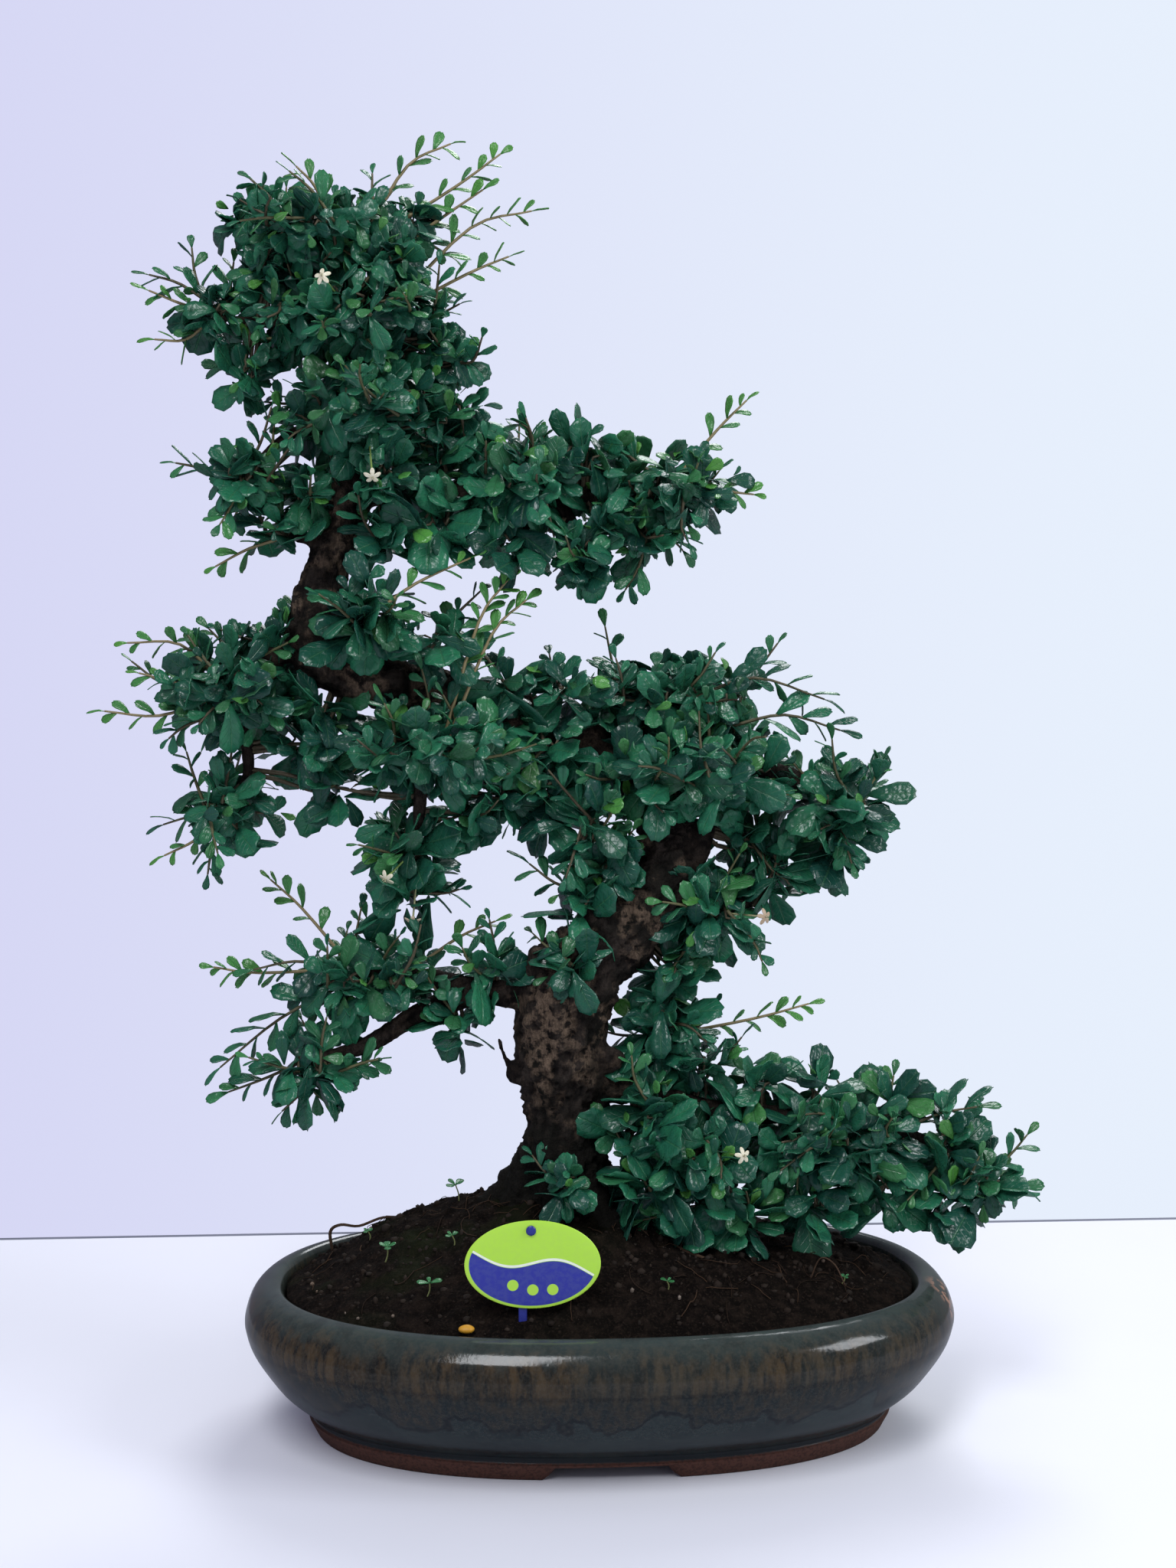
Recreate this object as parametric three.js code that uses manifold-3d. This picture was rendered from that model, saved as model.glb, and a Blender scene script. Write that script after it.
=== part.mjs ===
// Fukien tea bonsai in an oval glazed pot. Millimetres, +Z up, X along the pot's long side, -Y towards the viewer.
// The origin is on the floor under the middle of the pot.
import * as THREE from 'three';
import { mergeVertices } from 'three/addons/utils/BufferGeometryUtils.js';
import Module from 'manifold-3d';

const wasm = await Module();
wasm.setup();

// Driving dimensions of the pot
const potHalfLength = 230;
const potHalfDepth = 152;
const ovalPower = 2.3; // 2 is an ellipse, higher is squarer
const floorUnder = 8;
const floorTop = 16;
const footHeight = 11;
const rimHeight = 97;
const soilGap = 0.4;
const woodGap = 0.4; // clearance between wood and whatever it stands in or passes through

// Driving dimensions of the leaves
const leafLength = 32;
const leafWidth = 18;
const leafThickness = 0.8;
const coreInset = 19; // how far the twiggy core of a pad stays inside the tips of its leaves

const colours = {
  glaze: 0x3c4a55,
  soil: 0x1d1512,
  bark: 0x5a4334,
  leaf: 0x1d5a3c,
  petal: 0xe9e3cc,
  card: 0xa8d64a,
  stake: 0x27389a,
  mesh: 0x202020,
  pellet: 0xd99a1c,
};

function material(colour, roughness) {
  return new THREE.MeshStandardMaterial({ color: colour, roughness, metalness: 0 });
}

// Repeatable number from 0 to 1 for a whole-number index and a seed
function chance(index, seed) {
  const wave = Math.sin(index * 12.9898 + seed * 78.233) * 43758.5453;
  return wave - Math.floor(wave);
}

// A closed three.js geometry as a solid
function solidOf(geometry) {
  const bare = geometry.index ? geometry.toNonIndexed() : geometry.clone();
  bare.deleteAttribute('normal');
  bare.deleteAttribute('uv');
  const merged = mergeVertices(bare, 1e-4);
  return new wasm.Manifold(
    new wasm.Mesh({
      numProp: 3,
      vertProperties: merged.attributes.position.array,
      triVerts: new Uint32Array(merged.index.array),
    }),
  );
}

// A solid back as a geometry, keeping only its largest body
function geometryOf(solid) {
  const bodies = solid.asOriginal().simplify(0.2).decompose().sort((a, b) => b.volume() - a.volume());
  const mesh = bodies[0].getMesh();
  const geometry = new THREE.BufferGeometry();
  geometry.setAttribute('position', new THREE.BufferAttribute(mesh.vertProperties, 3));
  geometry.setIndex(new THREE.BufferAttribute(mesh.triVerts, 1));
  return geometry;
}

function unite(solids) {
  return solids.reduce((all, next) => all.add(next)).asOriginal();
}

function reshape(geometry, move) {
  const place = geometry.attributes.position;
  const point = new THREE.Vector3();
  for (let i = 0; i < place.count; i++) {
    point.fromBufferAttribute(place, i);
    move(point);
    place.setXYZ(i, point.x, point.y, point.z);
  }
  return geometry;
}

// The oval that a circle of the given radius becomes: every wall keeps its thickness all round
function ovalHalfDepth(radius) {
  const innerFloor = 170;
  return radius - (potHalfLength - potHalfDepth) * Math.min(1, radius / innerFloor);
}

function toOval(point) {
  const radius = Math.hypot(point.x, point.z);
  const height = point.y;
  if (radius < 1e-6) {
    point.set(0, 0, height);
    return;
  }
  const bend = (part) => Math.sign(part) * Math.abs(part) ** (2 / ovalPower);
  const along = bend(point.x / radius);
  const across = bend(-point.z / radius);
  point.set(radius * along, ovalHalfDepth(radius) * across, height);
}

// How far out a place is in the oval of the inner rim: 0 at the middle, 1 at the rim
function rimShare(x, y) {
  const inner = 205;
  const share = (Math.abs(x) / inner) ** ovalPower + (Math.abs(y) / ovalHalfDepth(inner)) ** ovalPower;
  return share ** (1 / ovalPower);
}

function hill(x, y, middleX, middleY, spreadX, spreadY) {
  return Math.exp(-(((x - middleX) / spreadX) ** 2 + ((y - middleY) / spreadY) ** 2) / 2);
}

// Height of the soil: a mound, higher round the trunk and along the left root
function soilHeight(x, y) {
  const share = Math.min(1, rimShare(x, y));
  const mound = 34 * (1 - share ** 3);
  const roots = 22 * hill(x, y, -20, 0, 45, 45) + 14 * hill(x, y, -85, 15, 45, 35);
  const crumbs = 1.6 * Math.sin(x * 0.13 + y * 0.07) * Math.sin(y * 0.17 - x * 0.05) * (1 - share ** 6);
  return 90 + mound + roots * (1 - share ** 6) + crumbs;
}

// A tube along smooth points, each [x, y, z, radius]; grow widens it all over for making clearances
function tube(points, sides, steps, grow = 0, lumps = 0) {
  const curve = new THREE.CatmullRomCurve3(points.map(([x, y, z]) => new THREE.Vector3(x, y, z)));
  const frames = curve.computeFrenetFrames(steps, false);
  const radiusAt = (share) => {
    const spot = Math.min(share * (points.length - 1), points.length - 1.000001);
    const before = Math.floor(spot);
    return THREE.MathUtils.lerp(points[before][3], points[before + 1][3], spot - before);
  };
  const geometry = new THREE.CylinderGeometry(1, 1, 1, sides, steps);
  return reshape(geometry, (point) => {
    const share = 0.5 - point.y;
    const step = Math.round(share * steps);
    const turn = Math.atan2(point.z, point.x);
    const bump = 1 + lumps * (Math.sin(3 * turn + share * 9) * 0.6 + Math.sin(5 * turn - share * 23) * 0.4);
    const radius = radiusAt(curve.getUtoTmapping(share)) * bump + grow;
    const ends = step === 0 ? -grow : step === steps ? grow : 0;
    const { x, z } = point;
    point
      .copy(curve.getPointAt(share))
      .addScaledVector(frames.normals[step], x * radius)
      .addScaledVector(frames.binormals[step], z * radius)
      .addScaledVector(frames.tangents[step], ends);
  });
}

// Trunk centre line with its radius, from inside the soil to the top of the crown
const trunkLine = [
  [-12, 0, 66, 34],
  [-14, 0, 104, 37],
  [-17, 0, 136, 34],
  [-21, 0, 166, 29],
  [-22, 0, 206, 26],
  [-26, 0, 250, 30],
  [-20, -4, 288, 29],
  [8, -8, 318, 24],
  [36, 0, 350, 21],
  [45, 12, 384, 20],
  [30, 24, 416, 19],
  [-6, 28, 437, 18],
  [-52, 22, 457, 17],
  [-102, 10, 474, 17],
  [-148, 0, 483, 17],
  [-178, -5, 497, 16],
  [-186, -5, 521, 15],
  [-178, 0, 549, 16],
  [-164, 5, 581, 14],
  [-156, 10, 616, 12],
  [-154, 10, 655, 10],
  [-158, 5, 699, 8],
  [-162, 0, 742, 5],
  [-165, 0, 772, 3],
];

// Branches, roots and knots that are one piece of wood with the trunk
const branchLines = {
  shoulder: [[-154, 10, 604, 9], [-110, 14, 600, 8], [-53, 12, 606, 7], [0, 15, 600, 5.5], [45, 15, 600, 4]],
  shoulderDrop: [[-30, 12, 604, 5], [-16, 5, 580, 4], [-11, 0, 560, 3]],
  crownLowLeft: [[-155, 10, 640, 5], [-190, 2, 640, 4], [-222, -8, 614, 3]],
  crownLeft: [[-158, 5, 695, 4.5], [-205, 2, 706, 3.5], [-248, 0, 711, 2.5]],
  underCrown: [[-166, 4, 575, 5], [-185, -1, 572, 4], [-198, -4, 575, 3]],
  trunkFront: [[-186, -5, 524, 5], [-162, -26, 526, 4], [-148, -34, 524, 3]],
  midLeft: [[-184, -5, 508, 9], [-212, -6, 496, 7], [-240, -5, 480, 4]],
  midLeftLow: [[-222, -6, 490, 5], [-225, -7, 455, 5], [-224, -6, 425, 4], [-234, -5, 404, 3]],
  centre: [[-100, 10, 472, 8], [-108, -14, 460, 7], [-112, -22, 436, 5.5], [-116, -17, 400, 4.5], [-116, -15, 374, 3]],
  rightMid: [[44, 14, 392, 12], [64, 20, 414, 10], [100, 16, 424, 8], [140, 8, 414, 6], [166, 5, 404, 4]],
  rightMidTop: [[20, 26, 422, 8], [36, 30, 450, 6], [50, 30, 474, 4]],
  rightRiser: [[42, 2, 352, 8], [62, -2, 368, 6.5], [70, 2, 392, 5.5], [74, 12, 416, 4]],
  bendRight: [[36, 0, 346, 8], [70, -6, 342, 5], [98, -8, 338, 3]],
  bendLeft: [[16, -8, 326, 6], [-4, -16, 336, 3.5], [-22, -16, 343, 2.5]],
  lowLeft: [[-30, -2, 276, 11], [-70, -4, 282, 9], [-112, -5, 272, 7], [-150, -12, 251, 6], [-190, -20, 241, 4]],
  lowLeftTop: [[-66, -4, 282, 7], [-108, -5, 292, 6], [-150, -5, 299, 4]],
  lowRight: [
    [-6, 0, 222, 13], [30, -5, 216, 10], [65, -12, 206, 8], [110, -12, 202, 7],
    [150, -10, 200, 6], [190, -10, 192, 5], [226, -10, 174, 4], [252, -10, 160, 3],
  ],
  lowRightTop: [[22, -3, 218, 6], [36, 6, 234, 4.5], [40, 10, 246, 3]],
  lowRightIn: [[48, -9, 210, 6], [58, -20, 194, 4.5], [61, -25, 182, 3]],
  base: [[-26, -22, 150, 4], [-27, -36, 160, 3.5], [-26, -44, 168, 3]],
  knotLeft: [[-44, -4, 232, 9], [-54, -7, 230, 8], [-60, -8, 229, 5]],
  knotRight: [[-4, -8, 238, 9], [8, -12, 240, 8], [13, -13, 242, 5]],
};
const rootLines = [
  [[-22, 0, 146, 24], [-56, 4, 130, 17], [-96, 10, 114, 11], [-128, 14, 96, 6]],
  [[-18, 2, 140, 22], [-36, -30, 122, 15], [-54, -58, 100, 8]],
  [[-10, -4, 136, 22], [8, -36, 120, 13], [30, -64, 98, 7]],
  [[-8, 0, 140, 24], [26, -6, 124, 16], [66, -14, 106, 9], [92, -18, 92, 6]],
  [[-10, 4, 138, 22], [14, 30, 120, 14], [40, 54, 98, 7]],
  [[-16, 6, 138, 22], [-30, 34, 122, 14], [-48, 62, 98, 7]],
];

// All the wood as one solid, widened by grow
function wood(grow) {
  const branches = Object.values(branchLines).map((line) => tube(line, 5, Math.min(line.length, 5), grow));
  const roots = rootLines.map((line) => tube(line, 6, 3, grow));
  return unite([tube(trunkLine, 10, 30, grow, 0.07), ...branches, ...roots].map(solidOf));
}

// The wall from the middle of the underside, round the foot, belly and lip, to the middle of the floor
function buildPot() {
  const wall = [
    [0, floorUnder], [164, floorUnder], [169, 0], [185, 0], [190, footHeight], [188, 12.5], [190.5, 17],
    [209, 33], [223, 53], [227.5, 63], [230, 66], [230, 74], [226.5, 86],
    [217, 95.5], [210, rimHeight], [206, 94], [202, 66], [190, 36], [178, 21], [170, floorTop], [0, floorTop],
  ];
  const profile = wall.map(([radius, height]) => new THREE.Vector2(radius, height));
  let pot = solidOf(reshape(new THREE.LatheGeometry(profile, 36), toOval));
  // A gap in the middle of the front and back of the foot, with sloping ends
  const gapOutline = new THREE.Shape([
    new THREE.Vector2(-41, -1),
    new THREE.Vector2(41, -1),
    new THREE.Vector2(35, floorUnder),
    new THREE.Vector2(-35, floorUnder),
  ]);
  const footGap = new THREE.ExtrudeGeometry(gapOutline, { depth: potHalfDepth * 3, bevelEnabled: false });
  footGap.translate(0, 0, -potHalfDepth * 1.5).rotateX(Math.PI / 2);
  pot = pot.subtract(solidOf(footGap));
  for (const x of drainHoles) {
    const drill = new THREE.CylinderGeometry(drainRadius, drainRadius, floorTop * 2, 20).rotateX(Math.PI / 2);
    pot = pot.subtract(solidOf(drill.translate(x, 0, floorTop)));
  }
  return pot;
}
const drainHoles = [-84, 84];
const drainRadius = 12;

// A square of plastic netting that keeps the soil in over a drain hole
function buildDrainMesh(x) {
  const side = 34;
  const thick = 1.4;
  const low = floorTop + 0.2;
  let net = solidOf(new THREE.BoxGeometry(side, side, thick).translate(x, 0, low + thick / 2));
  for (const column of [-1, 1]) {
    for (const row of [-1, 1]) {
      const opening = new THREE.BoxGeometry(9, 9, thick * 3).translate(x + column * 6, row * 6, low);
      net = net.subtract(solidOf(opening));
    }
  }
  return net;
}

// The root ball and soil fill the pot and rise in a mound
function buildSoil(clearances) {
  const under = [[0, 19], [165, 19], [177.5, 24], [189, 38], [201.5, 67], [204, 87]];
  const rings = [204, 184, 150, 110, 70, 36, 0];
  const profile = [
    ...under.map(([radius, height]) => new THREE.Vector2(radius ? radius - soilGap : 0, height)),
    ...rings.map((radius) => new THREE.Vector2(radius ? radius - soilGap : 0, 200)),
  ];
  const soil = reshape(new THREE.LatheGeometry(profile, 28), (point) => {
    const isTop = point.y > 199;
    toOval(point);
    if (isTop) point.z = soilHeight(point.x, point.y);
  });
  return clearances.reduce((left, hole) => left.subtract(hole), solidOf(soil));
}

// A spoon-shaped leaf with notches at its tip. It grows along +Y from the origin and its upper face is +Z.
function leafBlade(length, width) {
  const outline = [[0, 0], [0.48, 0.6], [0.34, 1], [0.04, 0.86], [-0.26, 0.97], [-0.5, 0.62]];
  const shape = new THREE.Shape(outline.map(([x, y]) => new THREE.Vector2(x * width, y * length)));
  const blade = new THREE.ExtrudeGeometry(shape, { depth: leafThickness, bevelEnabled: false });
  return reshape(blade, (point) => {
    const along = point.y / length;
    point.z += (point.x / width) ** 2 * 5 - along ** 2 * length * 0.16;
  });
}

// A small plain leaf for the long new shoots
function smallBlade(length) {
  const outline = [[-0.06, 0], [0.06, 0], [0.24, 0.6], [0, 1], [-0.24, 0.6]];
  const shape = new THREE.Shape(outline.map(([x, y]) => new THREE.Vector2(x * length, y * length)));
  const blade = new THREE.ExtrudeGeometry(shape, { depth: leafThickness, bevelEnabled: false });
  return reshape(blade, (point) => {
    point.z += (point.x / length) ** 2 * 6;
  });
}

// Stands a blade at a root point, growing along a direction with its face turned towards facing
function growAt(blade, root, direction, facing) {
  const along = direction.clone().normalize();
  const side = new THREE.Vector3().crossVectors(along, facing).normalize();
  const face = new THREE.Vector3().crossVectors(side, along);
  const frame = new THREE.Matrix4().makeBasis(side, along, face).setPosition(root);
  return blade.applyMatrix4(frame);
}

// Foliage pads: middle, half sizes and number of leaves
const pads = {
  crown_top: [[-170, 2, 764], [66, 58, 30], 10],
  crown_middle: [[-158, 5, 712], [78, 74, 40], 12],
  crown_low: [[-146, 6, 650], [72, 78, 46], 12],
  crown_low_left: [[-222, -8, 610], [36, 36, 22], 6],
  crown_left: [[-248, 0, 711], [32, 32, 20], 4],
  shoulder_inner: [[-50, 12, 610], [52, 62, 36], 9],
  shoulder_outer: [[44, 15, 606], [54, 50, 34], 9],
  shoulder_drop: [[-11, 0, 560], [30, 38, 22], 4],
  under_crown: [[-201, -5, 574], [22, 22, 13], 3],
  trunk_front: [[-146, -38, 524], [32, 22, 28], 4],
  middle_left: [[-238, -5, 477], [58, 66, 46], 10],
  middle_left_low: [[-236, -5, 403], [44, 44, 34], 7],
  centre: [[-110, -26, 442], [62, 48, 32], 9],
  centre_drop: [[-116, -15, 376], [38, 38, 36], 7],
  right_top: [[46, 30, 480], [80, 64, 26], 9],
  right_middle: [[58, 18, 424], [84, 80, 40], 14],
  right_lobe: [[166, 5, 404], [48, 54, 42], 9],
  bend_right: [[68, -2, 334], [44, 56, 34], 8],
  bend_left: [[-26, -18, 344], [24, 24, 18], 3],
  low_left: [[-146, -5, 299], [64, 48, 21], 8],
  low_left_tip: [[-190, -20, 240], [46, 42, 26], 7],
  low_right_top: [[40, 10, 250], [28, 38, 24], 4],
  low_right_inner: [[62, -26, 180], [48, 52, 38], 9],
  low_right: [[150, -10, 191], [72, 56, 34], 10],
  low_right_tip: [[252, -10, 160], [38, 38, 24], 6],
  trunk_base: [[-26, -47, 170], [15, 15, 15], 3],
};

// Long new shoots that stand out of the pads, each a line from inside its pad to its tip
const shoots = {
  crown_top: [
    [[-168, 0, 766], [-178, 0, 790], [-190, 0, 803]],
    [[-146, 0, 764], [-121, 0, 804], [-94, 5, 819]],
    [[-140, 5, 762], [-92, 5, 792], [-63, 5, 813]],
  ],
  crown_middle: [
    [[-130, 8, 720], [-82, 10, 768], [-43, 15, 780]],
    [[-130, 2, 714], [-84, 0, 738], [-58, 0, 749]],
  ],
  crown_left: [
    [[-244, 0, 713], [-262, 0, 718], [-282, 0, 726]],
  ],
  shoulder_outer: [[[48, 15, 610], [76, 15, 643], [95, 15, 662]]],
  under_crown: [[[-200, -5, 573], [-222, -4, 566], [-243, -2, 555]]],
  trunk_front: [[[-142, -38, 526], [-117, -30, 544], [-83, -24, 560]]],
  middle_left: [
    [[-240, -4, 482], [-266, 0, 506], [-299, 0, 507]],
    [[-246, -4, 472], [-280, 0, 461], [-316, 0, 464]],
  ],
  middle_left_low: [[[-236, -5, 400], [-258, 0, 382], [-278, 0, 372]]],
  low_left: [
    [[-160, -4, 300], [-191, 0, 337], [-211, 0, 356]],
    [[-160, -4, 299], [-219, 0, 296], [-248, 0, 300]],
  ],
  low_right_top: [[[42, 10, 250], [99, 2, 262], [136, 0, 272]]],
};

// Small star flowers: the pad that carries each, its place and where its stalk starts
const flowers = [
  ['crown_middle', [-171, -58, 727], [-160, -20, 716]],
  ['crown_low', [-142, -62, 608], [-146, -20, 640]],
  ['low_right_inner', [84, -70, 190], [70, -36, 184]],
  ['centre_drop', [-136, -46, 362], [-122, -22, 374]],
  ['centre_drop', [-120, -36, 334], [-117, -18, 366]],
  ['bend_right', [100, -46, 336], [80, -14, 334]],
];

function buildFlower(place, root, grow = 0) {
  const middle = new THREE.Vector3(...place);
  const from = new THREE.Vector3(...root);
  const outward = middle.clone().sub(from).normalize();
  const inPetals = middle.clone().addScaledVector(outward, 0.5);
  const halfway = middle.clone().lerp(from, 0.5);
  const stalk = tube([inPetals, halfway, from].map((point) => [...point.toArray(), 0.8]), 5, 3, grow);
  if (grow) return solidOf(stalk);
  const star = new THREE.Shape();
  for (let corner = 0; corner < 10; corner++) {
    const reach = corner % 2 ? 2 : 6.5;
    const turn = (corner / 10) * Math.PI * 2;
    const step = corner ? 'lineTo' : 'moveTo';
    star[step](Math.cos(turn) * reach, Math.sin(turn) * reach);
  }
  const petals = new THREE.ExtrudeGeometry(star, { depth: 1, bevelEnabled: false });
  const turned = new THREE.Quaternion().setFromUnitVectors(new THREE.Vector3(0, 0, 1), outward);
  petals.applyQuaternion(turned).translate(...middle.toArray());
  return unite([solidOf(petals), solidOf(stalk)]);
}

function coreHalf(half) {
  return new THREE.Vector3(...half.map((side) => Math.max(side - coreInset, side * 0.45)));
}

// A pad's core: a rough cluster of twigs and inner leaves, smaller than the pad
function padCore([middle, half]) {
  const ball = new THREE.IcosahedronGeometry(1, 1);
  return reshape(ball, (point) => {
    const place = Math.round(point.x * 97 + point.y * 57 + point.z * 31);
    const reach = 0.8 + 0.35 * chance(place, middle[0]);
    point.multiplyScalar(reach).multiply(coreHalf(half)).add(new THREE.Vector3(...middle));
  });
}

// Leaves of one pad, spread evenly over its core and reaching its outside
function padLeaves([middle, half, count], seed) {
  const centre = new THREE.Vector3(...middle);
  const size = new THREE.Vector3(...half);
  const goldenTurn = Math.PI * (3 - Math.sqrt(5));
  return Array.from({ length: count }, (_, leaf) => {
    const lift = 1 - (2 * (leaf + 0.5)) / count;
    const ring = Math.sqrt(1 - lift * lift);
    const turn = leaf * goldenTurn + chance(leaf, seed);
    const out = new THREE.Vector3(Math.cos(turn) * ring, Math.sin(turn) * ring, lift);
    const tip = out.clone().multiply(size);
    const normal = out.clone().divide(size).normalize();
    const across = new THREE.Vector3(0, 0, 1).cross(normal).normalize();
    const lean = (chance(leaf, seed + 0.5) - 0.5) * 1.6;
    const length = leafLength * (0.85 + 0.35 * chance(leaf, seed + 1));
    const direction = tip.clone().normalize().addScaledVector(across, lean).normalize();
    direction.z -= 0.25;
    const root = tip.clone().addScaledVector(direction.normalize(), -length);
    const depth = root.clone().divide(coreHalf(half)).length() / 0.72;
    if (depth > 1) root.divideScalar(depth);
    const facing = new THREE.Vector3(0, 0, 1).addScaledVector(normal, 0.4 + chance(leaf, seed + 2));
    return growAt(leafBlade(length, (leafWidth * length) / leafLength), root.add(centre), direction, facing);
  });
}

// A shoot is a thin stem with small leaves in turn on its two sides
function shootPieces(line, seed) {
  const stem = tube(line.map(([x, y, z], i) => [x, y, z, 1.5 - i * 0.3]), 3, 2);
  const curve = new THREE.CatmullRomCurve3(line.map((point) => new THREE.Vector3(...point)));
  const blades = [0.6, 0.93].map((share, i) => {
    const along = curve.getTangentAt(share);
    const side = new THREE.Vector3(0, i % 2 ? 1 : -1, 0.9 * (chance(i, seed) - 0.2));
    const direction = along.clone().multiplyScalar(0.8).add(side);
    const length = 16 - i * 3;
    const root = curve.getPointAt(share);
    return growAt(smallBlade(length), root, direction, new THREE.Vector3(0, 0, 1));
  });
  return [stem, ...blades];
}

const group = new THREE.Group();

function addNode(name, solid, finish) {
  const mesh = new THREE.Mesh(geometryOf(solid), finish);
  mesh.name = name;
  group.add(mesh);
}

const bark = material(colours.bark, 0.9);
const green = material(colours.leaf, 0.4);
const woodRoom = wood(woodGap);

// The card stands on a flat stake pushed into the soil at the front
const cardMiddle = [-48, -110, 135.8];
const stakeSize = [5, 2, 92];
const stakeBox = (grow) =>
  new THREE.BoxGeometry(...stakeSize.map((side) => side + grow * 2))
    .translate(cardMiddle[0] - 6, cardMiddle[1] + 2.2, cardMiddle[2] - 24);
const oval = new THREE.Shape().absellipse(0, 0, 41, 27, 0, Math.PI * 2);
const card = new THREE.ExtrudeGeometry(oval, { depth: 1, bevelEnabled: false, curveSegments: 20 });
card.rotateX(Math.PI / 2).translate(cardMiddle[0], cardMiddle[1] + 0.9, cardMiddle[2]);

addNode('pot', buildPot(), material(colours.glaze, 0.25));
addNode('soil', buildSoil([woodRoom, solidOf(stakeBox(0.3))]), material(colours.soil, 1));
addNode('trunk', wood(0), bark);
addNode('label_card', solidOf(card), material(colours.card, 0.4));
addNode('label_stake', solidOf(stakeBox(0)), material(colours.stake, 0.4));
drainHoles.forEach((x, i) => addNode(`drain_mesh_${i + 1}`, buildDrainMesh(x), material(colours.mesh, 0.7)));

// A yellow feed pellet lies on the soil by the front rim
const pelletPlace = [-88, -113];
const pelletRadius = 4;
const pelletHeight = soilHeight(...pelletPlace) + pelletRadius * 0.7 + 0.9;
const pellet = new THREE.IcosahedronGeometry(pelletRadius, 1).scale(1.3, 1, 0.7).translate(...pelletPlace, pelletHeight);
addNode('feed_pellet', solidOf(pellet), material(colours.pellet, 0.6));

flowers.forEach(([, place, root], i) => {
  addNode(`flower_${i + 1}`, buildFlower(place, root), material(colours.petal, 0.6));
});

// Each pad keeps clear of the wood, the flower stalks, the other cores and the pads made before it
const made = group.children.filter((mesh) => mesh.name !== 'trunk').map((mesh) => solidOf(mesh.geometry));
const cores = Object.entries(pads).map(([name, pad]) => [name, solidOf(padCore(pad))]);
cores.forEach(([name, core], seed) => {
  const others = cores.filter(([other]) => other !== name).map(([, solid]) => solid);
  const isFree = (piece, kept) => ![...made, ...others, ...kept].some((other) => other.intersect(piece).volume() > 0);
  const stems = (shoots[name] ?? []).map((line, i) => unite(shootPieces(line, seed * 10 + i).map(solidOf)));
  const kept = stems.filter((stem) => isFree(stem, []));
  for (const blade of padLeaves(pads[name], seed).map(solidOf)) {
    if (isFree(blade, kept)) kept.push(blade);
  }
  let foliage = unite([core, ...kept]).subtract(woodRoom);
  flowers.filter(([pad]) => pad === name).forEach(([, place, root]) => {
    foliage = foliage.subtract(buildFlower(place, root, woodGap));
  });
  addNode(`foliage_${name}`, foliage, green);
  made.push(solidOf(group.children.at(-1).geometry));
});

// The whole is moved so that the origin is under the middle of its bounding box
const middle = new THREE.Box3().setFromObject(group).getCenter(new THREE.Vector3());
group.children.forEach((mesh) => mesh.geometry.translate(-middle.x, -middle.y, 0));
export default group;
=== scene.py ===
# Fukien tea bonsai in an oval glazed pot: the looks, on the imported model's frame.
# Shapes are worked out in millimetres about the middle of the pot and go into the row frame in metres.
import math

import bmesh
import bpy
import numpy as np
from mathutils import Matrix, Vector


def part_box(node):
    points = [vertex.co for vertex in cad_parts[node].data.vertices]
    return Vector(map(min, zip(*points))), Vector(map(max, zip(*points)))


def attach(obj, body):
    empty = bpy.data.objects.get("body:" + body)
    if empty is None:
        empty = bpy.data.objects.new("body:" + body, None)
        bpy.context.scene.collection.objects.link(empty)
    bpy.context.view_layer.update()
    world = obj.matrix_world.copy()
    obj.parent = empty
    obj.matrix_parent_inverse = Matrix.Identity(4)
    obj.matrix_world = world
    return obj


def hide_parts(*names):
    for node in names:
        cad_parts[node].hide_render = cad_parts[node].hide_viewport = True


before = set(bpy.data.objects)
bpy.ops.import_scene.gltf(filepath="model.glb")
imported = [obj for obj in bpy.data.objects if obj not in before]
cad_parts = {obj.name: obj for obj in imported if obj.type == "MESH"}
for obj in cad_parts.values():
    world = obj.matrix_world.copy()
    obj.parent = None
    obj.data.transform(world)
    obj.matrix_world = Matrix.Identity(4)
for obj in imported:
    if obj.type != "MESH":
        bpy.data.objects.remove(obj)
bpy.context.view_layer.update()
potLow, potHigh = (np.array(corner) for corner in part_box("pot"))
potMiddle = (potLow + potHigh) / 2 * [1, 1, 0]
goldenTurn, fullTurn = 2.39996, 6.283  # in radians


# numbers and noise
def toFrame(points):
    # millimetres about the pot's middle m to metres: 0.001 p + m
    return np.asarray(points) * 0.001 + potMiddle


def fromFrame(points):
    # metres to millimetres about the pot's middle m: 1000 (p - m)
    return (np.asarray(points, float) - potMiddle) * 1000


def unit(vectors):
    # each vector divided by its own length
    return vectors / np.maximum(np.linalg.norm(vectors, axis=-1, keepdims=True), 1e-9)


def latticeValue(cells, seed):
    # a number from 0 to 1 for each lattice point: what is left after the point of a large sine
    wave = np.sin(cells @ np.array([12.9898, 78.233, 37.719]) + seed * 4.17) * 43758.5453
    return wave - np.floor(wave)


def noise(points, size, seed=0):
    # lattice values at the eight corners around a point, blended by 3t^2 - 2t^3 along each axis
    spot = np.asarray(points, float) / size
    cell = np.floor(spot)
    blend = spot - cell
    blend = blend * blend * (3 - 2 * blend)
    total = np.zeros(len(spot))
    for corner in range(8):
        step = np.array([corner & 1, corner >> 1 & 1, corner >> 2 & 1], float)
        total += np.prod(np.where(step > 0, blend, 1 - blend), axis=1) * latticeValue(cell + step, seed)
    return total


def roughNoise(points, size, seed=0, layers=3):
    # layers of noise, each half the size and half the height of the one before, from 0 to 1
    total = sum(noise(points, size / 2**i, seed + i) / 2**i for i in range(layers))
    return total / sum(1 / 2**i for i in range(layers))


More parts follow.
